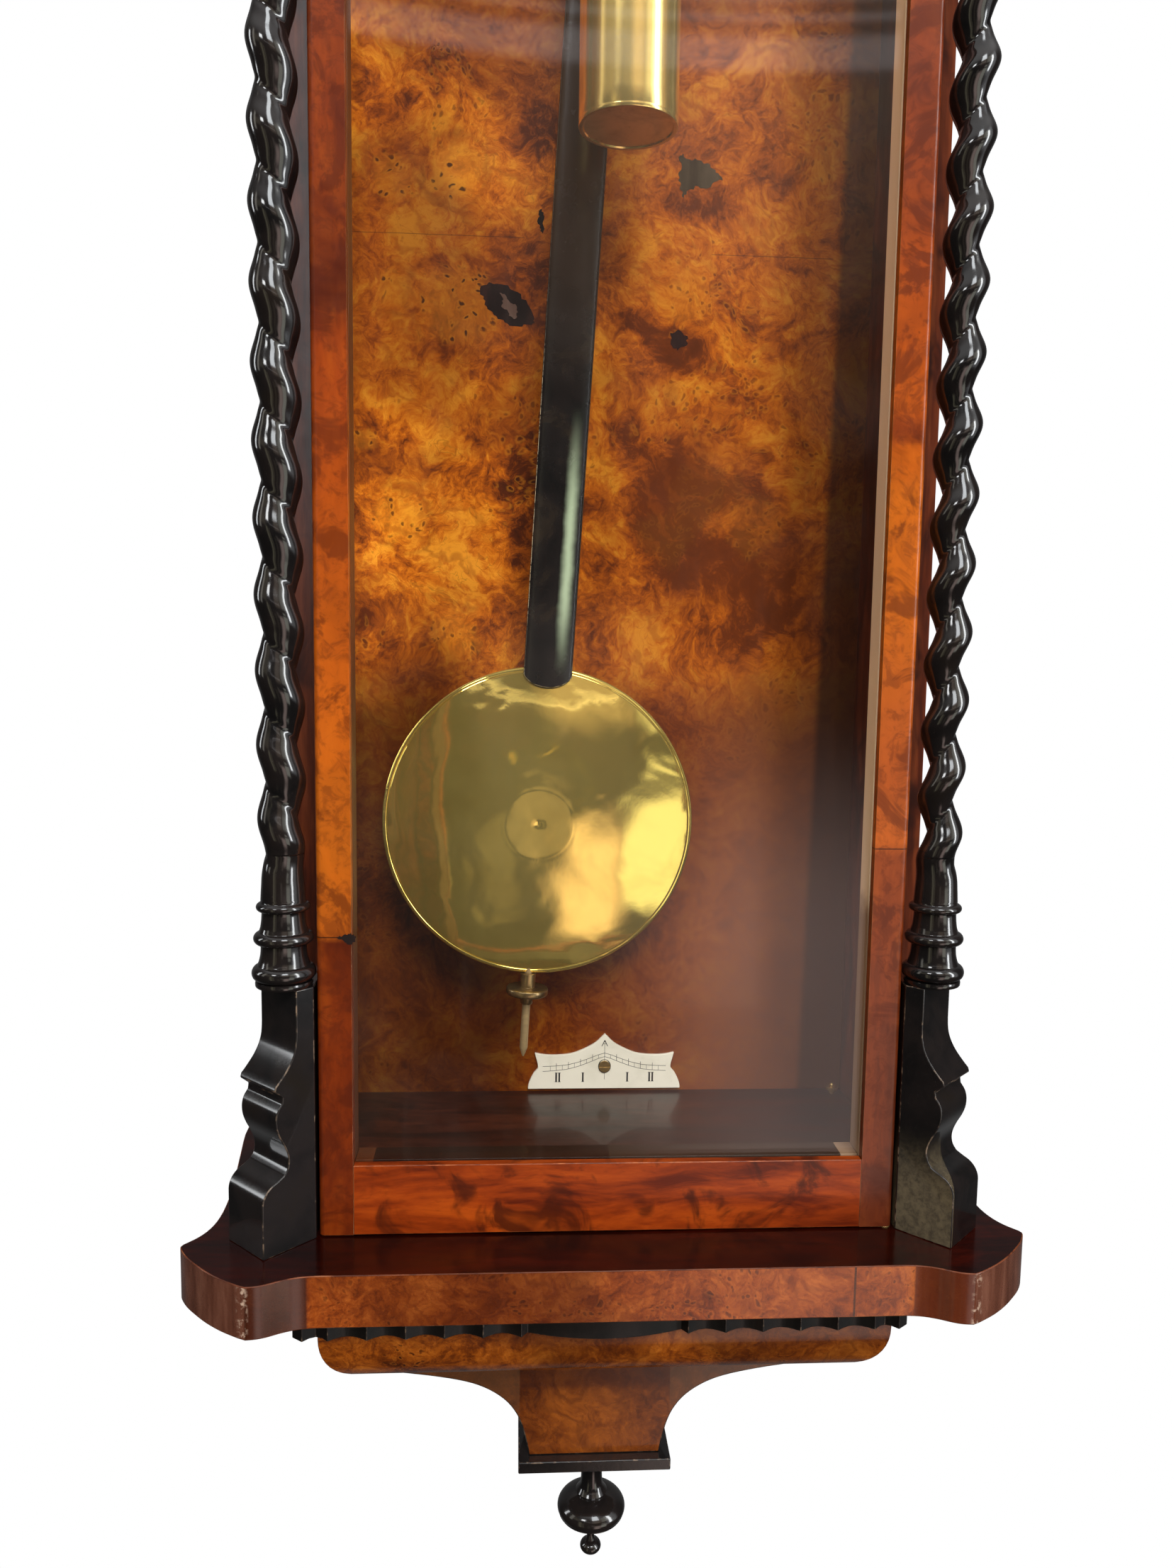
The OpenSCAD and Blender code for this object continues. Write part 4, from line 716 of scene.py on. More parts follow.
def refine(node, mats, bevel=0.4, seg=2, wear=False, hook=None, angle=32.0, smooth=40.0):
    """The CAD node's own shape with its edges eased and its faces given their materials."""
    me = NODES[node].data.copy()
    bm = bmesh.new()
    bm.from_mesh(me)
    bmesh.ops.remove_doubles(bm, verts=bm.verts, dist=3e-6)
    bmesh.ops.dissolve_limit(bm, angle_limit=math.radians(0.4), verts=bm.verts, edges=bm.edges)
    bm.normal_update()
    for f in bm.faces:
        f.material_index = 0
    if hook:
        for f in bm.faces:
            f.material_index = hook(f.normal, f.calc_center_median())
    bm.to_mesh(me)
    bm.free()
    for a in list(me.attributes):
        if a.name.startswith("custom_normal"):
            me.attributes.remove(a)
    ob = link_ob(node + "_v", me)
    finish_ob(ob, mats, bevel, seg, angle, wear, smooth)
    return settle(ob, node)


def build(name, verts, faces, to=rec):
    me = bpy.data.meshes.new(name)
    me.from_pydata([to(*v) if to else v for v in verts], [], faces)
    me.update()
    bm = bmesh.new()
    bm.from_mesh(me)
    bmesh.ops.recalc_face_normals(bm, faces=bm.faces)
    bm.to_mesh(me)
    bm.free()
    return me


def cr(p, n=4):
    """Smooth curve through the points."""
    out = []
    for i in range(len(p) - 1):
        a, b, c, d = p[max(i - 1, 0)], p[i], p[i + 1], p[min(i + 2, len(p) - 1)]
        for k in range(n):
            t = k / n
            out.append(tuple(0.5 * (2 * b[j] + (c[j] - a[j]) * t + (2 * a[j] - 5 * b[j] + 4 * c[j] - d[j]) * t * t + (3 * b[j] - a[j] - 3 * c[j] + d[j]) * t ** 3) for j in range(len(b))))
    return out + [tuple(p[-1])]


def arc(cx, cy, rx, ry, a0, a1, n):
    return [(cx + rx * math.cos(math.radians(a0 + (a1 - a0) * i / n)), cy + ry * math.sin(math.radians(a0 + (a1 - a0) * i / n))) for i in range(n + 1)]


class Parts:
    """Collects solids into one mesh."""

    def __init__(self):
        self.v, self.f = [], []

    def add(self, verts, faces):
        k = len(self.v)
        self.v += [tuple(v) for v in verts]
        self.f += [tuple(i + k for i in f) for f in faces]

    def lathe(self, prof, seg, place):
        """prof is (radius, height) from one end to the other; place maps (x, y, h) to the drawing frame."""
        verts, rings = [], []
        for r, h in prof:
            if r < 1e-6:
                rings.append([len(verts)])
                verts.append(place(0, 0, h))
            else:
                rings.append(list(range(len(verts), len(verts) + seg)))
                verts += [place(r * math.cos(2 * math.pi * i / seg), r * math.sin(2 * math.pi * i / seg), h) for i in range(seg)]
        faces = []
        for a, b in zip(rings, rings[1:]):
            if len(a) == 1 and len(b) == 1:
                continue
            for i in range(seg):
                j = (i + 1) % seg
                if len(a) == 1:
                    faces.append((a[0], b[i], b[j]))
                elif len(b) == 1:
                    faces.append((a[i], a[j], b[0]))
                else:
                    faces.append((a[i], a[j], b[j], b[i]))
        for ring in (rings[0], rings[-1]):
            if len(ring) > 1:
                faces.append(tuple(ring))
        self.add(verts, faces)

    def prism(self, poly, h0, h1, place):
        n = len(poly)
        self.add([place(x, y, h0) for x, y in poly] + [place(x, y, h1) for x, y in poly],
                 [tuple(range(n - 1, -1, -1)), tuple(range(n, 2 * n))] + [(i, (i + 1) % n, n + (i + 1) % n, n + i) for i in range(n)])

    def tube(self, path, r, seg=10, ends=True):
        pts = [Vector(p) for p in path]
        verts, faces = [], []
        up = Vector((0, 1, 0))
        for i, p in enumerate(pts):
            t = (pts[min(i + 1, len(pts) - 1)] - pts[max(i - 1, 0)]).normalized()
            a = up - t * up.dot(t)
            if a.length < 1e-4:
                a = Vector((1, 0, 0)) - t * t.x
            a.normalize()
            b = t.cross(a)
            up = a
            rr = r(i) if callable(r) else r
            for k in range(seg):
                w = 2 * math.pi * k / seg
                verts.append(tuple(p + a * (rr * math.cos(w)) + b * (rr * math.sin(w))))
        for i in range(len(pts) - 1):
            for k in range(seg):
                m = (k + 1) % seg
                faces.append((i * seg + k, i * seg + m, (i + 1) * seg + m, (i + 1) * seg + k))
        if ends:
            faces += [tuple(range(seg - 1, -1, -1)), tuple(range((len(pts) - 1) * seg, len(pts) * seg))]
        self.add(verts, faces)

    def mesh(self, name, to=rec):
        return build(name, self.v, self.f, to)


def upright(cx, cy, z0=0.0, sign=1.0):
    return lambda x, y, h: (cx + x, cy + y * sign, z0 + h * sign)


def facing(cx, cz, y0, dirn=-1.0):
    """height runs along y, away from the wall when dirn is -1."""
    return lambda x, y, h: (cx + x, y0 + dirn * h, cz + y)


# ------------------------------------------------------------------ case
def board_hook(front, back, limit=0.9):
    return lambda n, c: front if n.y < -limit else back


refine("backboard", ["burr_back", "bare_wood"], 0.5, hook=lambda n, c: 0 if n.y < -0.9 else 1)
refine("platform", ["burr_edge", "oxblood", "bare_wood", "edge_brown"], 0.45, seg=3, wear=True,
       hook=lambda n, c: 1 if n.z > 0.9 else (2 if n.z < -0.9 else 0))
refine("ripple_moulding", ["ebony_dull", "ebony_edge"], 0.35, wear=True, angle=24)
refine("apron", ["burr_apron", "soft_edge"], 0.5, wear=True, angle=40)
refine("pendant_block", ["burr_pendant", "oxblood", "ebony_edge"], 0.6, wear=True, hook=lambda n, c: 0 if abs(n.y) > 0.9 else 1)
refine("pendant_plate", ["ebony", "ebony_edge"], 0.6, wear=True)
refine("floor_board", ["walnut_in"], 0.4)
refine("ceiling_board", ["walnut_in"], 0.4)
refine("side_frame_left", ["walnut_side", "soft_edge"], 0.4, wear=True)
refine("side_frame_right", ["walnut_side", "soft_edge"], 0.4, wear=True)
refine("side_glass", ["glass_side"], 0.0)
refine("column_brackets", ["ebony_bracket", "ebony_edge"], 0.5, seg=2, wear=True, angle=34)
refine("cornice", ["cornice_wood", "soft_edge"], 1.6, seg=3, wear=False, angle=40)
refine("cornice_slab", ["burr_edge", "oxblood", "bare_wood", "worn_edge"], 0.8, seg=3, wear=True,
       hook=lambda n, c: 1 if n.z < -0.9 else (2 if n.z > 0.9 else 0))
refine("pediment", ["burr_head", "oxblood", "ebony_edge"], 0.8, seg=3, wear=True, hook=lambda n, c: 0 if abs(n.y) > 0.9 else 1)
refine("hanger_plate", ["brass_plate"], 0.25)
refine("wood_screws", ["brass"], 0.12, angle=50)
refine("steady_screws", ["brass"], 0.12, angle=50)
refine("movement_bracket", ["iron"], 0.4)
refine("suspension_cock", ["brass_plate"], 0.4)
refine("movement_frame", ["brass_plate"], 0.2, angle=50)
refine("pivot_pins", ["brass"], 0.1, angle=50)
refine("strike_plate", ["brass"], 0.1)
refine("dial", ["enamel"], 0.25, angle=50)


NECK = [(164.5, 10.3), (168, 10.1), (174, 9.7), (180, 9.2), (186, 8.9)]


def neck_r(d):
    """Radius of the plain neck at height d above the platform."""
    for (a, ra), (b, rb) in zip(NECK, NECK[1:]):
        if d <= b:
            return ra + (rb - ra) * max(0.0, d - a) / (b - a)
    return NECK[-1][1]


def shaft(parts, cx, turn, lead, ref_deg, ref_z, big, off, z0, z1):
    """Single-start rope twist: a round section set off its axis, with a crease opposite the ridge.
    It fades into the plain neck at each end. turn is +1 where the strand climbs to the right."""
    verts, faces, seg = [], [], 72
    rows = max(8, int((z1 - z0) / 0.8))
    for i in range(rows + 1):
        z = z0 + (z1 - z0) * i / rows
        d = min(z, DOOR_TOP - z)
        e = max(0.0, min(1.0, (d - 171.0) / 26.0))
        e = e * e * (3 - 2 * e)
        w = max(0.0, min(1.0, (d - 184.0) / 10.0))
        w = w * w * (3 - 2 * w)
        rr = neck_r(d) * (1 - w) + big * w
        th = math.radians(ref_deg) + turn * 2 * math.pi * (z - ref_z) / lead
        for k in range(seg):
            ph = 2 * math.pi * k / seg
            crease = 0.62 * e * math.exp(-((ph - math.pi) / 0.50) ** 2)
            r = off * e * math.cos(ph) + math.sqrt(rr * rr - (off * e * math.sin(ph)) ** 2) - crease
            verts.append((cx + r * math.cos(th + ph), COL_Y + r * math.sin(th + ph), z))
    for i in range(rows):
        for k in range(seg):
            m = (k + 1) % seg
            faces.append((i * seg + k, i * seg + m, (i + 1) * seg + m, (i + 1) * seg + k))
    faces += [tuple(range(seg - 1, -1, -1)), tuple(range(rows * seg, (rows + 1) * seg))]
    parts.add(verts, faces)


SHAFTS = ((-COL_X, -1.0, 33.93, 191.5, 440.2, 9.4, 1.7, "twist_left"), (COL_X, 1.0, 31.72, -20.8, 451.4, 8.5, 2.4, "twist_right"))
for cx, turn, lead, rd, rz, big, off, node in SHAFTS:
    sp = Parts()
    shaft(sp, cx, turn, lead, rd, rz, big, off, 186.0, DOOR_TOP - 186.0)
    ob = link_ob(node + "_v", sp.mesh(node + "_v"))
    finish_ob(ob, ["ebony"], 0.0, smooth=80.0)
    settle(ob, node)

TURN = [(0, 123.5), (12.9, 123.5), (13.2, 123.9), (13.3, 125.2), (13.1, 126.0)] + arc(11.4, 130, 3.4, 3.7, -80, 76, 16) + cr([(12.1, 133.9), (11.7, 134.8), (11.2, 136.4), (10.7, 139), (10.5, 142.2)], 4)[:-1] \
    + [(10.55, 143.2)] + arc(10.8, 146.4, 3.0, 2.9, -78, 76, 14) + cr([(11.3, 149.4), (10.9, 150.6), (10.5, 152), (10.1, 155), (9.9, 158.2)], 4) + [(10.0, 159.0)] + arc(10.2, 161.2, 2.2, 2.0, -76, 80, 12) + [(10.3, 163.6), (10.3, 164.5), (0, 164.5)]
tp = Parts()
for sx in (-1, 1):
    tp.lathe(TURN, 72, upright(sx * COL_X, COL_Y))
    tp.lathe(TURN, 72, upright(sx * COL_X, COL_Y, DOOR_TOP, -1.0))
for cx, turn, lead, rd, rz, big, off, node in SHAFTS:
    shaft(tp, cx, turn, lead, rd, rz, big, off, 164.5, 186.0)
    shaft(tp, cx, turn, lead, rd, rz, big, off, DOOR_TOP - 186.0, DOOR_TOP - 164.5)
ob = link_ob("column_turnings_v", tp.mesh("column_turnings_v"))
finish_ob(ob, ["ebony"], smooth=48.0)
settle(ob, "column_turnings")

DROP = [(0, -154.4), (10.2, -154.4), (10.5, -154.8), (10.5, -156.2)] + cr([(10.2, -156.8), (8.4, -158.4), (6.6, -161.5), (5.9, -166), (5.8, -172), (6.4, -177), (8.6, -180.4)], 4) \
    + arc(0, -190, 18.7, 9.4, 64, -16, 26) + [(17.9, -193.2), (17.2, -193.7), (17.3, -194.1)] + arc(0, -190, 18.7, 9.4, -27, -76, 16) \
    + cr([(4.0, -199.8), (3.0, -201), (2.1, -203.4), (2.0, -208), (2.6, -210.6)], 4) + arc(0, -214.4, 5.8, 4.2, 60, -84, 18) + [(0, -218.6)]
dp = Parts()
dp.lathe(DROP[::-1], 96, upright(DROP_X, 60))
ob = link_ob("bottom_finial_v", dp.mesh("bottom_finial_v"))
finish_ob(ob, ["ebony"], smooth=44.0)
settle(ob, "bottom_finial")

FIN = [(0, 0), (10.7, 0), (11, 0.4), (11, 2.6), (10.6, 3)] + cr([(8.4, 4.6), (6.4, 6.6), (5, 9), (4.8, 12), (6, 14), (8, 15.4)], 3) + arc(0, 25.6, 13, 12, -52, 56, 30) \
    + cr([(6.4, 36), (4.2, 37.2), (3, 39)], 3) + arc(0, 43, 4.6, 4.6, -48, 84, 16) + [(0, 47.6)]
fp = Parts()
for x, y, z, s in ((-166, 2, 936, 1.0), (166, 2, 936, 1.0), (0, 5, 1027, 0.8)):
    fp.lathe([(r * s, h * s) for r, h in FIN], 64, upright(x, y, z))
ob = link_ob("top_finials_v", fp.mesh("top_finials_v"))
finish_ob(ob, ["ebony"], smooth=44.0)
settle(ob, "top_finials")

# ------------------------------------------------------------------ chips in the veneer and a split in a stile
def flake(parts, pts, y, lift, seed):
    """A torn patch with the given outline; each side is broken up a little, as torn veneer is."""
    r = random.Random(seed)
    out = []
    n = len(pts)
    for i in range(n):
        (ax, az), (bx_, bz_) = pts[i], pts[(i + 1) % n]
        out.append((ax, az))
        ln = math.hypot(bx_ - ax, bz_ - az)
        for k in (1, 2, 3):
            t = k / 4.0 + (r.random() - 0.5) * 0.12
            o = (r.random() - 0.5) * min(1.9, 0.42 * ln)
            out.append((ax + (bx_ - ax) * t - (bz_ - az) / ln * o, az + (bz_ - az) * t + (bx_ - ax) / ln * o))
    parts.prism(out, 0.0, lift, lambda x, z, hh: (x, y - hh, z))


def patch(name, outlines, y, lift, mat, body, seed=1):
    p = Parts()
    for k, o in enumerate(outlines):
        flake(p, o, y, lift, seed + k)
    o = link_ob(name, p.mesh(name))
    finish_ob(o, [mat])
    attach(o, body)


patch("veneer_chip_right", [[(38.3, 550.5), (40.5, 552.5), (42.5, 550), (49, 549.5), (56, 547.5), (59, 543.5), (63, 539.5), (58.5, 538.5), (56, 535.5), (49.5, 536), (44.5, 534), (42, 529.5), (40.2, 533.5), (38.5, 538.5), (40, 544)]], 125, 0.12, "chip_grey", "case", 3)
patch("veneer_chips", [[(35.7, 458), (40.4, 460), (45.6, 456.7), (45, 451.4), (40, 448.6), (36.2, 452)],
                       [(-69.3, 478), (-64.3, 481.7), (-55.7, 480.5), (-48.7, 477), (-43, 470.5), (-40, 465), (-39, 461.2), (-43.2, 460), (-49.4, 459), (-55.6, 460.7), (-60.3, 464), (-65, 467.5), (-67.3, 472.7)],
                       [(-37.5, 520), (-35.6, 521), (-34.4, 517), (-34.7, 511.7), (-35.5, 508), (-37, 511), (-37.9, 516)]], 125, 0.12, "chip", "case", 7)
patch("veneer_chip_ground", [[(-58.5, 476.2), (-55.2, 475.0), (-53.2, 472.0), (-50.0, 470.6), (-48.4, 466.4), (-49.6, 463.0), (-53.4, 464.4), (-54.6, 467.6), (-57.6, 469.2), (-56.4, 472.6)]], 124.88, 0.12, "chip_pale", "case", 21)
patch("stile_split", [[(-130.5, 147.2), (-127.5, 147.7), (-125, 148.6), (-122.6, 148.4), (-121.4, 146.6), (-122.2, 144.6), (-124.6, 143.4), (-126.6, 144.4), (-128, 146)]], 0.0, 0.10, "chip", "door", 31)

# ------------------------------------------------------------------ beat plate with its scale
refine("beat_plate", ["ivory"], 0.25, angle=50)


def strokes(name, items, y, lift, place_xz, mat, body, yaxis=True):
    """items are (x0, z0, x1, z1, width) thin printed lines, lift mm proud of the face at y."""
    p = Parts()
    for x0, z0, x1, z1, w in items:
        d = Vector((x1 - x0, z1 - z0))
        if d.length < 1e-6:
            continue
        d.normalize()
        nx, nz = -d.y * w / 2, d.x * w / 2
        quad = [(x0 + nx, z0 + nz), (x0 - nx, z0 - nz), (x1 - nx, z1 - nz), (x1 + nx, z1 + nz)]
        p.prism([place_xz(*q) for q in quad], 0.0, lift, lambda x, z, hh: (x, y - hh, z))
    o = link_ob(name, p.mesh(name))
    finish_ob(o, [mat])
    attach(o, body)
    return o


def numeral(text, x, z, h, th=0.55, gap=None, rot=0.0, foot="bottom"):
    """A plain Roman numeral in strokes, centred at x, z, turned by rot."""
    wid = {"I": 0.34 * h, "V": 0.66 * h, "X": 0.66 * h}
    tot = sum(wid[c] for c in text)
    out = []
    cx = -tot / 2
    for c in text:
        w = wid[c]
        m = cx + w / 2
        if c == "I":
            out.append((m, -h / 2, m, h / 2, th))
            sr = w * 0.42
            out += [(m - sr, h / 2, m + sr, h / 2, th * 0.34), (m - sr, -h / 2, m + sr, -h / 2, th * 0.34)]
        elif c == "V":
            q = w * 0.34
            out += [(m - q, h / 2, m, -h / 2, th), (m + q, h / 2, m, -h / 2, th * 0.42), (m - q * 1.5, h / 2, m - q * 0.4, h / 2, th * 0.34), (m + q * 0.5, h / 2, m + q * 1.5, h / 2, th * 0.34)]
        else:
            q = w * 0.34
            out += [(m - q, h / 2, m + q, -h / 2, th), (m + q, h / 2, m - q, -h / 2, th * 0.42)]
            for sx in (-1, 1):
                for sz in (-1, 1):
                    out.append((m + sx * q - w * 0.17, sz * h / 2, m + sx * q + w * 0.17, sz * h / 2, th * 0.34))
        cx += w
    c, s = math.cos(rot), math.sin(rot)
    return [(x + a * c - b * s, z + a * s + b * c, x + e * c - f * s, z + e * s + f * c, w) for a, b, e, f, w in out]


bx, bz = BEAT_X, 25.4
items = []


def scale_curve(u, off):
    """Height of the double scale line over the plate's foot, u from 0 at the centre to 1 at the ends."""
    pts = [(0, 21.6), (0.10, 20.6), (0.25, 18.4), (0.42, 16.2), (0.6, 14.6), (0.8, 13.9), (1.0, 13.7)]
    for (a, za), (b, zb) in zip(pts, pts[1:]):
        if u <= b:
            return za + (zb - za) * (u - a) / (b - a) - off * (0.72 + 0.28 * u)
    return pts[-1][1] - off


for sx in (-1, 1):
    for off in (0.0, 3.0):
        prev = None
        for i in range(25):
            u = i / 24
            q = (bx + sx * 36.4 * u, bz + scale_curve(u, off))
            if prev:
                items.append((*prev, *q, 0.24))
            prev = q
    for i in range(1, 10):
        u = i * 3.55 / 36.4
        tall = i % 2 == 0
        items.append((bx + sx * i * 3.55, bz + scale_curve(u, 3.0), bx + sx * i * 3.55, bz + scale_curve(u, 0.0) + (1.6 if tall else 0.0), 0.24 if tall else 0.18))
items.append((bx, bz + 5.6, bx, bz + 29.4, 0.22))
items += [(bx, bz + 29.4, bx - 1.7, bz + 25.8, 0.42), (bx, bz + 29.4, bx + 1.7, bz + 25.8, 0.42), (bx - 1.0, bz + 27.2, bx + 1.0, bz + 27.2, 0.22)]
for k in range(28):
    a0, a1 = 2 * math.pi * k / 28, 2 * math.pi * (k + 1) / 28
    wdt = 0.30 + 0.25 * abs(math.cos((a0 + a1) / 2))
    items.append((bx + 3.5 * math.cos(a0), bz + 13.6 + 4.0 * math.sin(a0), bx + 3.5 * math.cos(a1), bz + 13.6 + 4.0 * math.sin(a1), wdt))
for txt, nx in (("II", -27.5), ("I", -12.7), ("I", 13.6), ("II", 27.6)):
    items += numeral(txt, bx + nx, bz + 7.0, 5.4, 0.95)
strokes("beat_scale", items, 123.0, 0.05, lambda x, z: (x, z), "ink", "case")

# ------------------------------------------------------------------ dial
marks = []
for k in range(60):
    a = math.radians(6 * k)
    r0, r1 = (74.2, 78.6)
    w = 1.1 if k % 5 == 0 else 0.38
    marks.append((r0 * math.sin(a), DIAL_Z + r0 * math.cos(a), r1 * math.sin(a), DIAL_Z + r1 * math.cos(a), w))
for rr, w in ((78.6, 0.34), (74.2, 0.26)):
    for k in range(120):
        a0, a1 = math.radians(3 * k), math.radians(3 * k + 3)
        marks.append((rr * math.sin(a0), DIAL_Z + rr * math.cos(a0), rr * math.sin(a1), DIAL_Z + rr * math.cos(a1), w))
for i, txt in enumerate(["XII", "I", "II", "III", "IIII", "V", "VI", "VII", "VIII", "IX", "X", "XI"]):
    a = math.radians(30 * i)
    marks += numeral(txt, 61.5 * math.sin(a), DIAL_Z + 61.5 * math.cos(a), 17.0, 1.9, rot=-a)
# seconds ring round the escape arbor
for rr, w in ((17.6, 0.24), (15.4, 0.18)):
    for k in range(72):
        a0, a1 = math.radians(5 * k), math.radians(5 * k + 5)
        marks.append((rr * math.sin(a0), ESC_Z + rr * math.cos(a0), rr * math.sin(a1), ESC_Z + rr * math.cos(a1), w))
for k in range(48):
    a = math.radians(7.5 * k)
    r0 = 14.2 if k % 4 == 0 else 15.4
    marks.append((r0 * math.sin(a), ESC_Z + r0 * math.cos(a), 17.6 * math.sin(a), ESC_Z + 17.6 * math.cos(a), 0.36 if k % 4 == 0 else 0.16))
strokes("dial_marks", marks, 32.8, 0.05, lambda x, z: (x, z), "ink", "case")

BEZ = [(84.0, 0.0), (90.4, 0.0), (90.5, 0.1), (90.5, 2.9)] + cr([(90.4, 3.1), (89.6, 4.6), (88.2, 5.9), (86.6, 6.4), (85.2, 6.1), (84.0, 5.4), (82.6, 4.8), (81.8, 4.5)], 4) + [(81.8, 4.0), (84.0, 4.0), (84.0, 0.0)]
zp = Parts()
zp_seg = 160
vv, ff = [], []
for (r, h) in BEZ[:-1]:
    for i in range(zp_seg):
        a = 2 * math.pi * i / zp_seg
        vv.append((r * math.cos(a), 36.8 - h, DIAL_Z + r * math.sin(a)))
nb = len(BEZ) - 1
for j in range(nb):
    for i in range(zp_seg):
        m = (i + 1) % zp_seg
        jj = (j + 1) % nb
        ff.append((j * zp_seg + i, j * zp_seg + m, jj * zp_seg + m, jj * zp_seg + i))
zp.add(vv, ff)
ob = link_ob("dial_bezel_v", zp.mesh("dial_bezel_v"))
finish_ob(ob, ["brass"], smooth=44.0)
settle(ob, "dial_bezel")

# ------------------------------------------------------------------ door
refine("door_stiles", ["stile", "worn_edge"], 0.75, seg=2, wear=True, hook=None)
refine("door_rails", ["rail", "soft_edge"], 0.4, seg=2, wear=True)
refine("glazing_beads", ["bead"], 0.3)
refine("door_glass", ["glass"], 0.0)
refine("door_bushes", ["brass"], 0.0)
refine("escutcheon", ["brass"], 0.12)
refine("lock_bolt", ["brass"], 0.2)

# ------------------------------------------------------------------ pendulum
refine("suspension_spring", ["steel"], 0.0)
refine("pendulum_head", ["brass"], 0.3)
refine("rating_stem", ["brass_dull"], 0.0)
refine("pendulum_rod", ["ebony_rod", "rod_edge"], 0.45, wear=True, angle=27)

sag = BOB_T / 2 - 1.5
bigR = (BOB_R ** 2 + sag ** 2) / (2 * sag)
dome = lambda r: math.sqrt(max(0.0, bigR ** 2 - r * r)) - (bigR - BOB_T / 2)
half = [(0.0, dome(19) - 0.22), (1.2, dome(19) - 0.2), (1.9, dome(19) - 0.02), (2.4, dome(19) + 0.06)] + [(r, dome(19) + 0.06) for r in (5, 9, 13, 16.5)] \
    + [(18.0, dome(19) + 0.05), (18.6, dome(19) + 0.02), (19.4, dome(19.4) - 0.03)] + [(r, dome(r)) for r in [20 + 1.6 * i for i in range(39)]] + [(81.6, dome(81.6)), (81.9, dome(81.9) - 0.30), (82.3, dome(82.3) - 0.34), (82.6, dome(82.6) - 0.02), (83.1, dome(83.1)), (83.6, dome(83.6)), (84.2, 1.35), (84.5, 0.9)]
bobp = Parts()
prof = half + [(r, -h) for r, h in half[::-1]]
# a hand-hammered shell is never quite true, so the dome ripples by a few hundredths of a millimetre
bv, bf, bseg = [], [], 144
rings = []
for r, h in prof:
    if r < 1e-6:
        rings.append([len(bv)])
        bv.append(pend(0, PEND_Y - h, PIVOT_Z - PEND_L))
    else:
        rings.append(list(range(len(bv), len(bv) + bseg)))
        for i in range(bseg):
            a = 2 * math.pi * i / bseg
            fade = min(1.0, r / 30.0) * min(1.0, max(0.0, (84 - r) / 12.0))
            wob = fade * (0.13 * math.sin(3 * a + 0.07 * r) + 0.08 * math.sin(5 * a - 0.11 * r + 1.3) + 0.07 * math.sin(0.16 * r + 2 * a))
            sgn = 1 if h > 0 else -1
            bv.append(pend(r * math.cos(a), PEND_Y - h - sgn * wob, PIVOT_Z - PEND_L + r * math.sin(a)))
for a, b in zip(rings, rings[1:]):
    for i in range(bseg):
        m = (i + 1) % bseg
        if len(a) == 1:
            bf.append((a[0], b[i], b[m]))
        elif len(b) == 1:
            bf.append((a[i], a[m], b[0]))
        else:
            bf.append((a[i], a[m], b[m], b[i]))
bobp.add(bv, bf)
ob = link_ob("bob_v", bobp.mesh("bob_v"))
finish_ob(ob, ["brass_bob"], smooth=30.0)
settle(ob, "bob")

# rating nut with a milled edge
ns = PEND_L + BOB_R + 8.2
nv, nf, nseg = [], [], 96
NUT = [(2.3, 7.9), (4.0, 7.9), (4.2, 7.7), (4.2, 0.3), (4.5, 0.0), (10.4, 0.0), (11.2, -0.4), (11.6, -0.9), (11.6, -3.3), (11.2, -3.9), (10.2, -4.4), (4.0, -4.6), (3.5, -5.0), (3.4, -9.0), (3.1, -9.6), (2.3, -9.6)]
np_ = Parts()
nverts = []
for j, (r, h) in enumerate(NUT):
    for i in range(nseg):
        a = 2 * math.pi * i / nseg
        rr = r - (0.16 if (j in (7, 8) and i % 2) else 0.0)
        nverts.append(pend(rr * math.cos(a), PEND_Y + rr * math.sin(a), PIVOT_Z - ns + h))
for j in range(len(NUT)):
    jj = (j + 1) % len(NUT)
    for i in range(nseg):
        m = (i + 1) % nseg
        nf.append((j * nseg + i, j * nseg + m, jj * nseg + m, jj * nseg + i))
np_.add(nverts, nf)
ob = link_ob("rating_nut_v", np_.mesh("rating_nut_v"))
finish_ob(ob, ["bronze"], smooth=40.0)
settle(ob, "rating_nut")

# thread on the stem below the nut
th = Parts()
path = []
for i in range(0, 24 * 34 + 1):
    a = 2 * math.pi * i / 24
    h = -(PEND_L + BOB_R + 20.0) - 22.0 * i / (24 * 34)
    path.append(pend(2.12 * math.cos(a), PEND_Y + 2.12 * math.sin(a), PIVOT_Z + h))
th.tube(path, 0.16, 5)
ob = link_ob("stem_thread", th.mesh("stem_thread"))
finish_ob(ob, ["brass_dull"], smooth=60.0)
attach(ob, "pendulum")

# ------------------------------------------------------------------ weight, pulley and line
R, Hh = WEIGHT_R, WEIGHT_H
WP = [(0, 0.9), (20.6, 0.9), (21.4, 0.8), (21.8, 0.1), (22.1, 0.0), (23.4, 0.0), (23.8, 0.15), (24.0, 0.6), (24.0, 1.8), (23.94, 2.1), (24.0, 2.4)] \
    + [(24.0, h) for h in (10, 30, 54, 78, 98)] + [(24.0, Hh - 2.4), (23.94, Hh - 2.1), (24.0, Hh - 1.8), (24.0, Hh - 0.6), (23.7, Hh - 0.1), (23.4, Hh), (21.4, Hh), (21.0, Hh - 0.2), (20.6, Hh - 0.8), (4.6, Hh - 0.8)] \
    + cr([(4.2, Hh - 0.5), (3.9, Hh + 1.4), (3.6, Hh + 2.8), (2.6, Hh + 3.7), (1.4, Hh + 4.0)], 3) + [(1.4, Hh + 6.6), (0, Hh + 6.6)]
wp = Parts()
wp.lathe(WP, 128, lambda x, y, h: (WEIGHT[0] + x, WEIGHT[1] + y, WEIGHT[2] + h))
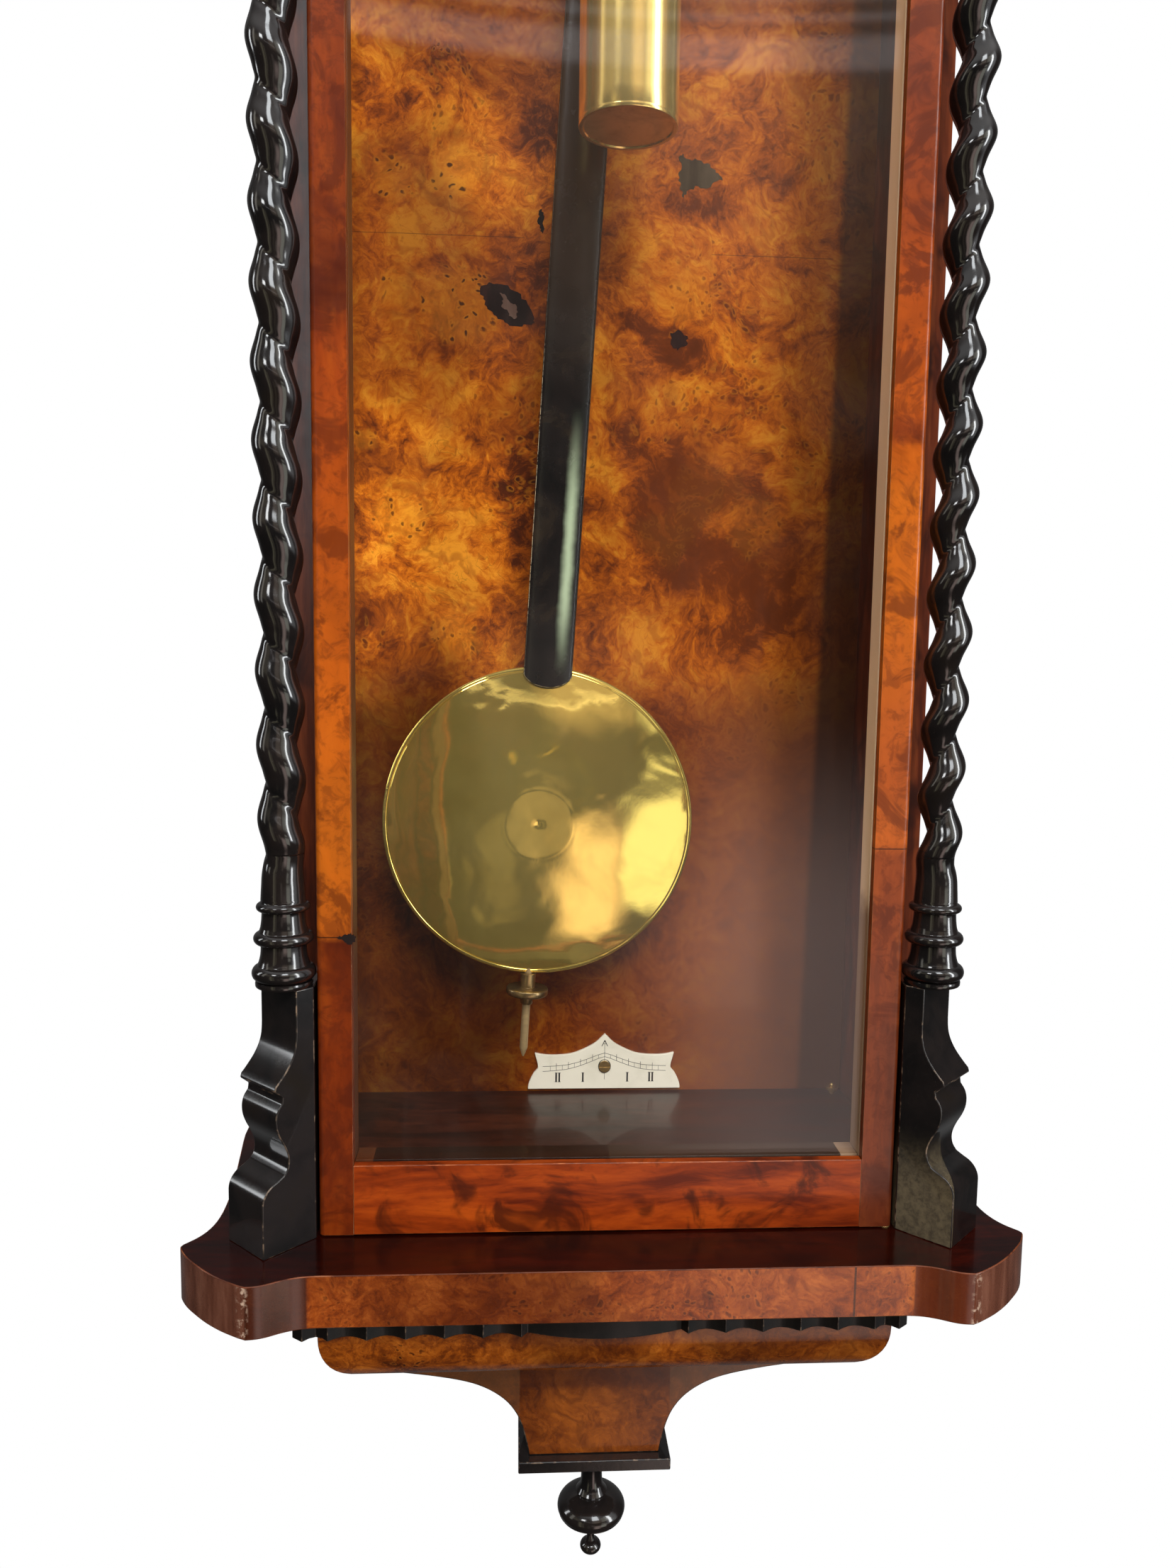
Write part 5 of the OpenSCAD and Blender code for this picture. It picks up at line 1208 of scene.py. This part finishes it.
# its ring
ring = [(WEIGHT[0] + 3.5 * math.cos(2 * math.pi * i / 48), WEIGHT[1], WEIGHT[2] + Hh + 10.4 + 3.5 * math.sin(2 * math.pi * i / 48)) for i in range(48)]
rv, rf = [], []
for i in range(48):
    a = 2 * math.pi * i / 48
    for k in range(12):
        b = 2 * math.pi * k / 12
        rr = 3.5 + 1.1 * math.cos(b)
        rv.append((WEIGHT[0] + rr * math.cos(a), WEIGHT[1] + 1.15 * math.sin(b), WEIGHT[2] + Hh + 10.4 + rr * math.sin(a)))
for i in range(48):
    for k in range(12):
        i2, k2 = (i + 1) % 48, (k + 1) % 12
        rf.append((i * 12 + k, i * 12 + k2, i2 * 12 + k2, i2 * 12 + k))
wp.add(rv, rf)
me = wp.mesh("weight_v")
ob = link_ob("weight_v", me)
for f in me.polygons:
    f.material_index = 1 if f.normal.z < -0.8 and f.center.z < (WEIGHT[2] + 1.2 - HANG_Z) * 0.001 else 0
keepidx = [f.material_index for f in me.polygons]
finish_ob(ob, ["brass_weight", "brass_dull"], smooth=38.0)
for f, k in zip(ob.data.polygons, keepidx):
    f.material_index = k
settle(ob, "weight")

refine("pulley_stirrup", ["brass"], 0.2)
refine("pulley", ["brass"], 0.12, angle=40)

gp = Parts()
px, pr = WEIGHT[0], 20.0
path = [(px - pr, WEIGHT[1], GREAT_Z - 1.5 * i) for i in range(int((GREAT_Z - PULLEY_Z) / 1.5) + 1)]
path += [(px - pr * math.cos(math.pi * i / 40), WEIGHT[1], PULLEY_Z - pr * math.sin(math.pi * i / 40)) for i in range(41)]
top = DIAL_Z - 58
path += [(px + pr, WEIGHT[1], PULLEY_Z + 1.0 + 1.5 * i) for i in range(int((top - PULLEY_Z) / 1.5))] + [(px + pr, WEIGHT[1], top)]
gp.tube(path, lambda i: 0.58 + 0.03 * (i % 2), 10)
me = gp.mesh("gut_line_v")
ob = link_ob("gut_line_v", me)
finish_ob(ob, ["gut"], smooth=60.0)
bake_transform(ob, "weight", "case", start=rec(px, WEIGHT[1], PULLEY_Z + 2), end=rec(px, WEIGHT[1], top - 1))
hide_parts("gut_line")

# the turns of line that lie on the drum
dpath = []
turns = 9.25
for i in range(int(turns * 40) + 1):
    a = 2 * math.pi * i / 40
    dpath.append((-15.9 * math.cos(a), 50.0 + 0.0 - 5.2 + 1.22 * i / 40, GREAT_Z + 15.9 * math.sin(a)))
lp = Parts()
lp.tube(dpath, 0.58, 8)
ob = link_ob("drum_line", lp.mesh("drum_line"))
finish_ob(ob, ["gut"], smooth=60.0)
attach(ob, "drum")

# ------------------------------------------------------------------ movement
refine("drum", ["brass_plate"], 0.15, angle=50)
refine("great_wheel", ["brass_plate"], 0.0)
for n in ("third_arbor", "escape_arbor", "centre_arbor"):
    refine(n, ["brass_plate", "steel"], 0.0, hook=None)
refine("anchor", ["steel"], 0.15)
refine("crutch", ["brass"], 0.25)
refine("minute_wheel", ["brass_plate"], 0.0)
refine("hour_wheel", ["brass_plate"], 0.0)
refine("hour_hand", ["hand"], 0.1)
refine("minute_hand", ["hand"], 0.1)
refine("seconds_hand", ["hand"], 0.05)

# ------------------------------------------------------------------ stage, light and camera
fl = bpy.data.meshes.new("floor")
fl.from_pydata([(-6, -6, -2.2), (6, -6, -2.2), (6, 4, -2.2), (-6, 4, -2.2)], [], [(0, 1, 2, 3)])
floor = link_ob("floor", fl)
fm = Mat("floor_pale")
fm.t.nodes.remove(fm.p)
fe = fm.n("Emission")
fe.inputs[0].default_value = (1, 1, 1, 1)
fe.inputs[1].default_value = 1.0
fm.link(fe.outputs[0], fm.out.inputs[0])
fl.materials.append(fm.m)
floor.visible_glossy = False
floor.visible_diffuse = False
floor.visible_shadow = False

world = bpy.data.worlds.new("studio")
bpy.context.scene.world = world
world.use_nodes = True
wt = world.node_tree
wt.nodes.clear()


def wn(kind, **props):
    node = wt.nodes.new("ShaderNode" + kind)
    for k, v in props.items():
        setattr(node, k, v)
    return node


def wmath(op, a, b=0.0, clamp=False):
    n = wn("Math", operation=op, use_clamp=clamp)
    for s_, v in ((n.inputs[0], a), (n.inputs[1], b)):
        if isinstance(v, bpy.types.NodeSocket):
            wt.links.new(v, s_)
        else:
            s_.default_value = v
    return n.outputs[0]


def wstep(v, a, b):
    """0 below a, 1 above b, smooth between; the other way round where a is larger."""
    n = wn("MapRange", clamp=True, interpolation_type="SMOOTHSTEP")
    wt.links.new(v, n.inputs[0])
    lo, hi = (a, b) if a < b else (b, a)
    for i, x in enumerate((lo, hi, 0.0 if a < b else 1.0, 1.0 if a < b else 0.0)):
        n.inputs[i + 1].default_value = x
    return n.outputs[0]


wtc = wn("TexCoord")
wsx = wn("SeparateXYZ")
wt.links.new(wtc.outputs["Generated"], wsx.inputs[0])
AZ = wmath("MULTIPLY", wmath("ARCTAN2", wsx.outputs[0], wmath("MULTIPLY", wsx.outputs[1], -1.0)), 180 / math.pi)
EL = wmath("MULTIPLY", wmath("ARCSINE", wsx.outputs[2]), 180 / math.pi)


def panel(az0, az1, el0, el1, soft, level):
    """A soft-edged luminous panel of the studio, by azimuth from the front and elevation, in degrees; the thin strips hang a little askew."""
    el = EL_ASKEW if soft < 0.5 else EL
    a = wmath("MULTIPLY", wstep(AZ, az0 - soft, az0 + soft), wstep(AZ, az1 + soft, az1 - soft))
    e = wmath("MULTIPLY", wstep(el, el0 - soft, el0 + soft), wstep(el, el1 + soft, el1 - soft))
    return wmath("MULTIPLY", wmath("MULTIPLY", a, e), level)


EL_ASKEW = wmath("ADD", EL, wmath("MULTIPLY", AZ, 0.05))
PANELS = [  # azimuth, elevation, softness, level, colour
    ((56, 65, -8, 44), 2.0, 12.0, (0.95, 0.98, 1.0)),
    ((48, 84, -14, 50), 6.0, 0.8, (0.94, 0.97, 1.0)),
    ((28, 46, -30, -2), 3.0, 1.5, (1.0, 1.0, 0.86)),
    ((30, 42, 2, 9), 2.0, 1.1, (1.0, 1.0, 0.86)),
    ((2, 30, 19, 42), 6.0, 0.50, (1.0, 0.76, 0.56)),
    ((33, 68, 19, 46), 4.0, 1.05, (1.0, 0.98, 0.84)),
    ((8, 27, -42, -8), 6.0, 1.55, (1.0, 0.76, 0.68)),
    ((-2, 7, -14, 2), 2.0, 0.26, (1.0, 0.82, 0.70)),
    ((-14, -6, -34, -6), 3.0, 0.12, (1.0, 0.86, 0.60)),
    ((-38, -24, 33, 42), 1.5, 13.0, (0.98, 0.99, 1.0)),
    ((1, 27, 40, 62), 2.5, 8.0, (0.93, 0.97, 1.0)),
    ((-98, -91, 6, 36), 2.0, 7.0, (0.95, 0.98, 1.0)),
    ((-76, -66, 8, 44), 2.0, 1.2, (1.0, 0.96, 0.85)),
    ((-42, -33, -30, 18), 3.0, 0.60, (1.0, 0.92, 0.62)),
    ((-30, -26, -30, 14), 1.5, 0.35, (1.0, 0.90, 0.60)),
    ((-70, -40, 20, 36), 5.0, 0.30, (1.0, 0.90, 0.66)),
    ((-20, 26, 26.0, 27.2), 0.20, 1.15, (1.0, 0.95, 0.95)),
    ((-20, 26, 27.7, 28.0), 0.10, 0.9, (1.0, 0.97, 0.97)),
    ((-20, 26, 28.4, 28.8), 0.10, 0.9, (1.0, 0.97, 0.97)),
]
total = None
for (a0, a1, e0, e1), soft, level, colr in PANELS:
    pv = panel(a0, a1, e0, e1, soft, level)
    cc = wn("CombineXYZ")
    for i in range(3):
        wt.links.new(wmath("MULTIPLY", pv, colr[i]), cc.inputs[i])
    if total is None:
        total = cc.outputs[0]
    else:
        ad = wn("VectorMath", operation="ADD")
        wt.links.new(total, ad.inputs[0])
        wt.links.new(cc.outputs[0], ad.inputs[1])
        total = ad.outputs[0]
behind = wmath("MULTIPLY", wstep(wmath("ABSOLUTE", AZ), 110.0, 140.0), 0.07)
above = wmath("MULTIPLY", wstep(EL, 40.0, 62.0), 0.55)
base = wmath("ADD", wmath("ADD", behind, above), wmath("ADD", 0.022, wmath("MULTIPLY", wstep(EL, 28.5, 45.0), 0.06)))
bc = wn("CombineXYZ")
for i in range(3):
    wt.links.new(base, bc.inputs[i])
ad = wn("VectorMath", operation="ADD")
wt.links.new(total, ad.inputs[0])
wt.links.new(bc.outputs[0], ad.inputs[1])
wo = wn("OutputWorld")
lp_ = wn("LightPath")
bg1 = wn("Background")
bg2 = wn("Background")
mx = wn("MixShader")
wt.links.new(ad.outputs[0], bg1.inputs[0])
bg1.inputs[1].default_value = 1.0
bg2.inputs[0].default_value = (1, 1, 1, 1)
bg2.inputs[1].default_value = 1.0
wt.links.new(lp_.outputs["Is Camera Ray"], mx.inputs[0])
wt.links.new(bg1.outputs[0], mx.inputs[1])
wt.links.new(bg2.outputs[0], mx.inputs[2])
wt.links.new(mx.outputs[0], wo.inputs[0])


def area(name, loc, target, size, power, color=(1, 1, 1), mirrored=True):
    la = bpy.data.lights.new(name, "AREA")
    la.shape = "RECTANGLE"
    la.size, la.size_y = size
    la.energy = power
    la.color = color
    o = bpy.data.objects.new(name, la)
    bpy.context.scene.collection.objects.link(o)
    o.location = rec(*loc)
    d = Vector(rec(*target)) - o.location
    o.rotation_euler = d.to_track_quat("-Z", "Y").to_euler()
    o.visible_glossy = mirrored
    return o


area("key", (457, -1835, 1778), (0, 60, 300), (1.0, 0.8), 40, (1.0, 0.97, 0.93), False)
area("fill_left", (-1050, -1750, 700), (0, 60, 300), (0.8, 0.8), 10, (1.0, 0.97, 0.93), False)
area("back_soft", (-300, 2600, 900), (0, 60, 300), (1.6, 1.6), 30, (1.0, 1.0, 1.0), False)

scene = bpy.context.scene
scene.view_settings.view_transform = "Standard"
scene.view_settings.look = "None"
scene.view_settings.exposure = 0.0
scene.view_settings.gamma = 1.0

cam_data = bpy.data.cameras.new("camera")
cam_data.lens = 26.45
cam_data.sensor_fit = "VERTICAL"
cam_data.sensor_height = 36.0
cam_data.sensor_width = 27.0
cam_data.clip_start = 0.01
cam = bpy.data.objects.new("camera", cam_data)
bpy.context.scene.collection.objects.link(cam)
yaw, pitch, roll = (math.radians(a) for a in (-3.5926, -6.2095, -0.84695))
Rm = Matrix.Rotation(yaw, 3, "Z") @ Matrix.Rotation(pitch, 3, "X") @ Matrix.Rotation(roll, 3, "Y")
right, fwd, upv = Rm.col[0], Rm.col[1], Rm.col[2]
m4 = Matrix.Identity(4)
for i in range(3):
    m4[i][0], m4[i][1], m4[i][2] = right[i], upv[i], -fwd[i]
m4.translation = Vector((-0.04735, -0.66990, -0.67805))
cam.matrix_world = m4
bpy.context.scene.camera = cam
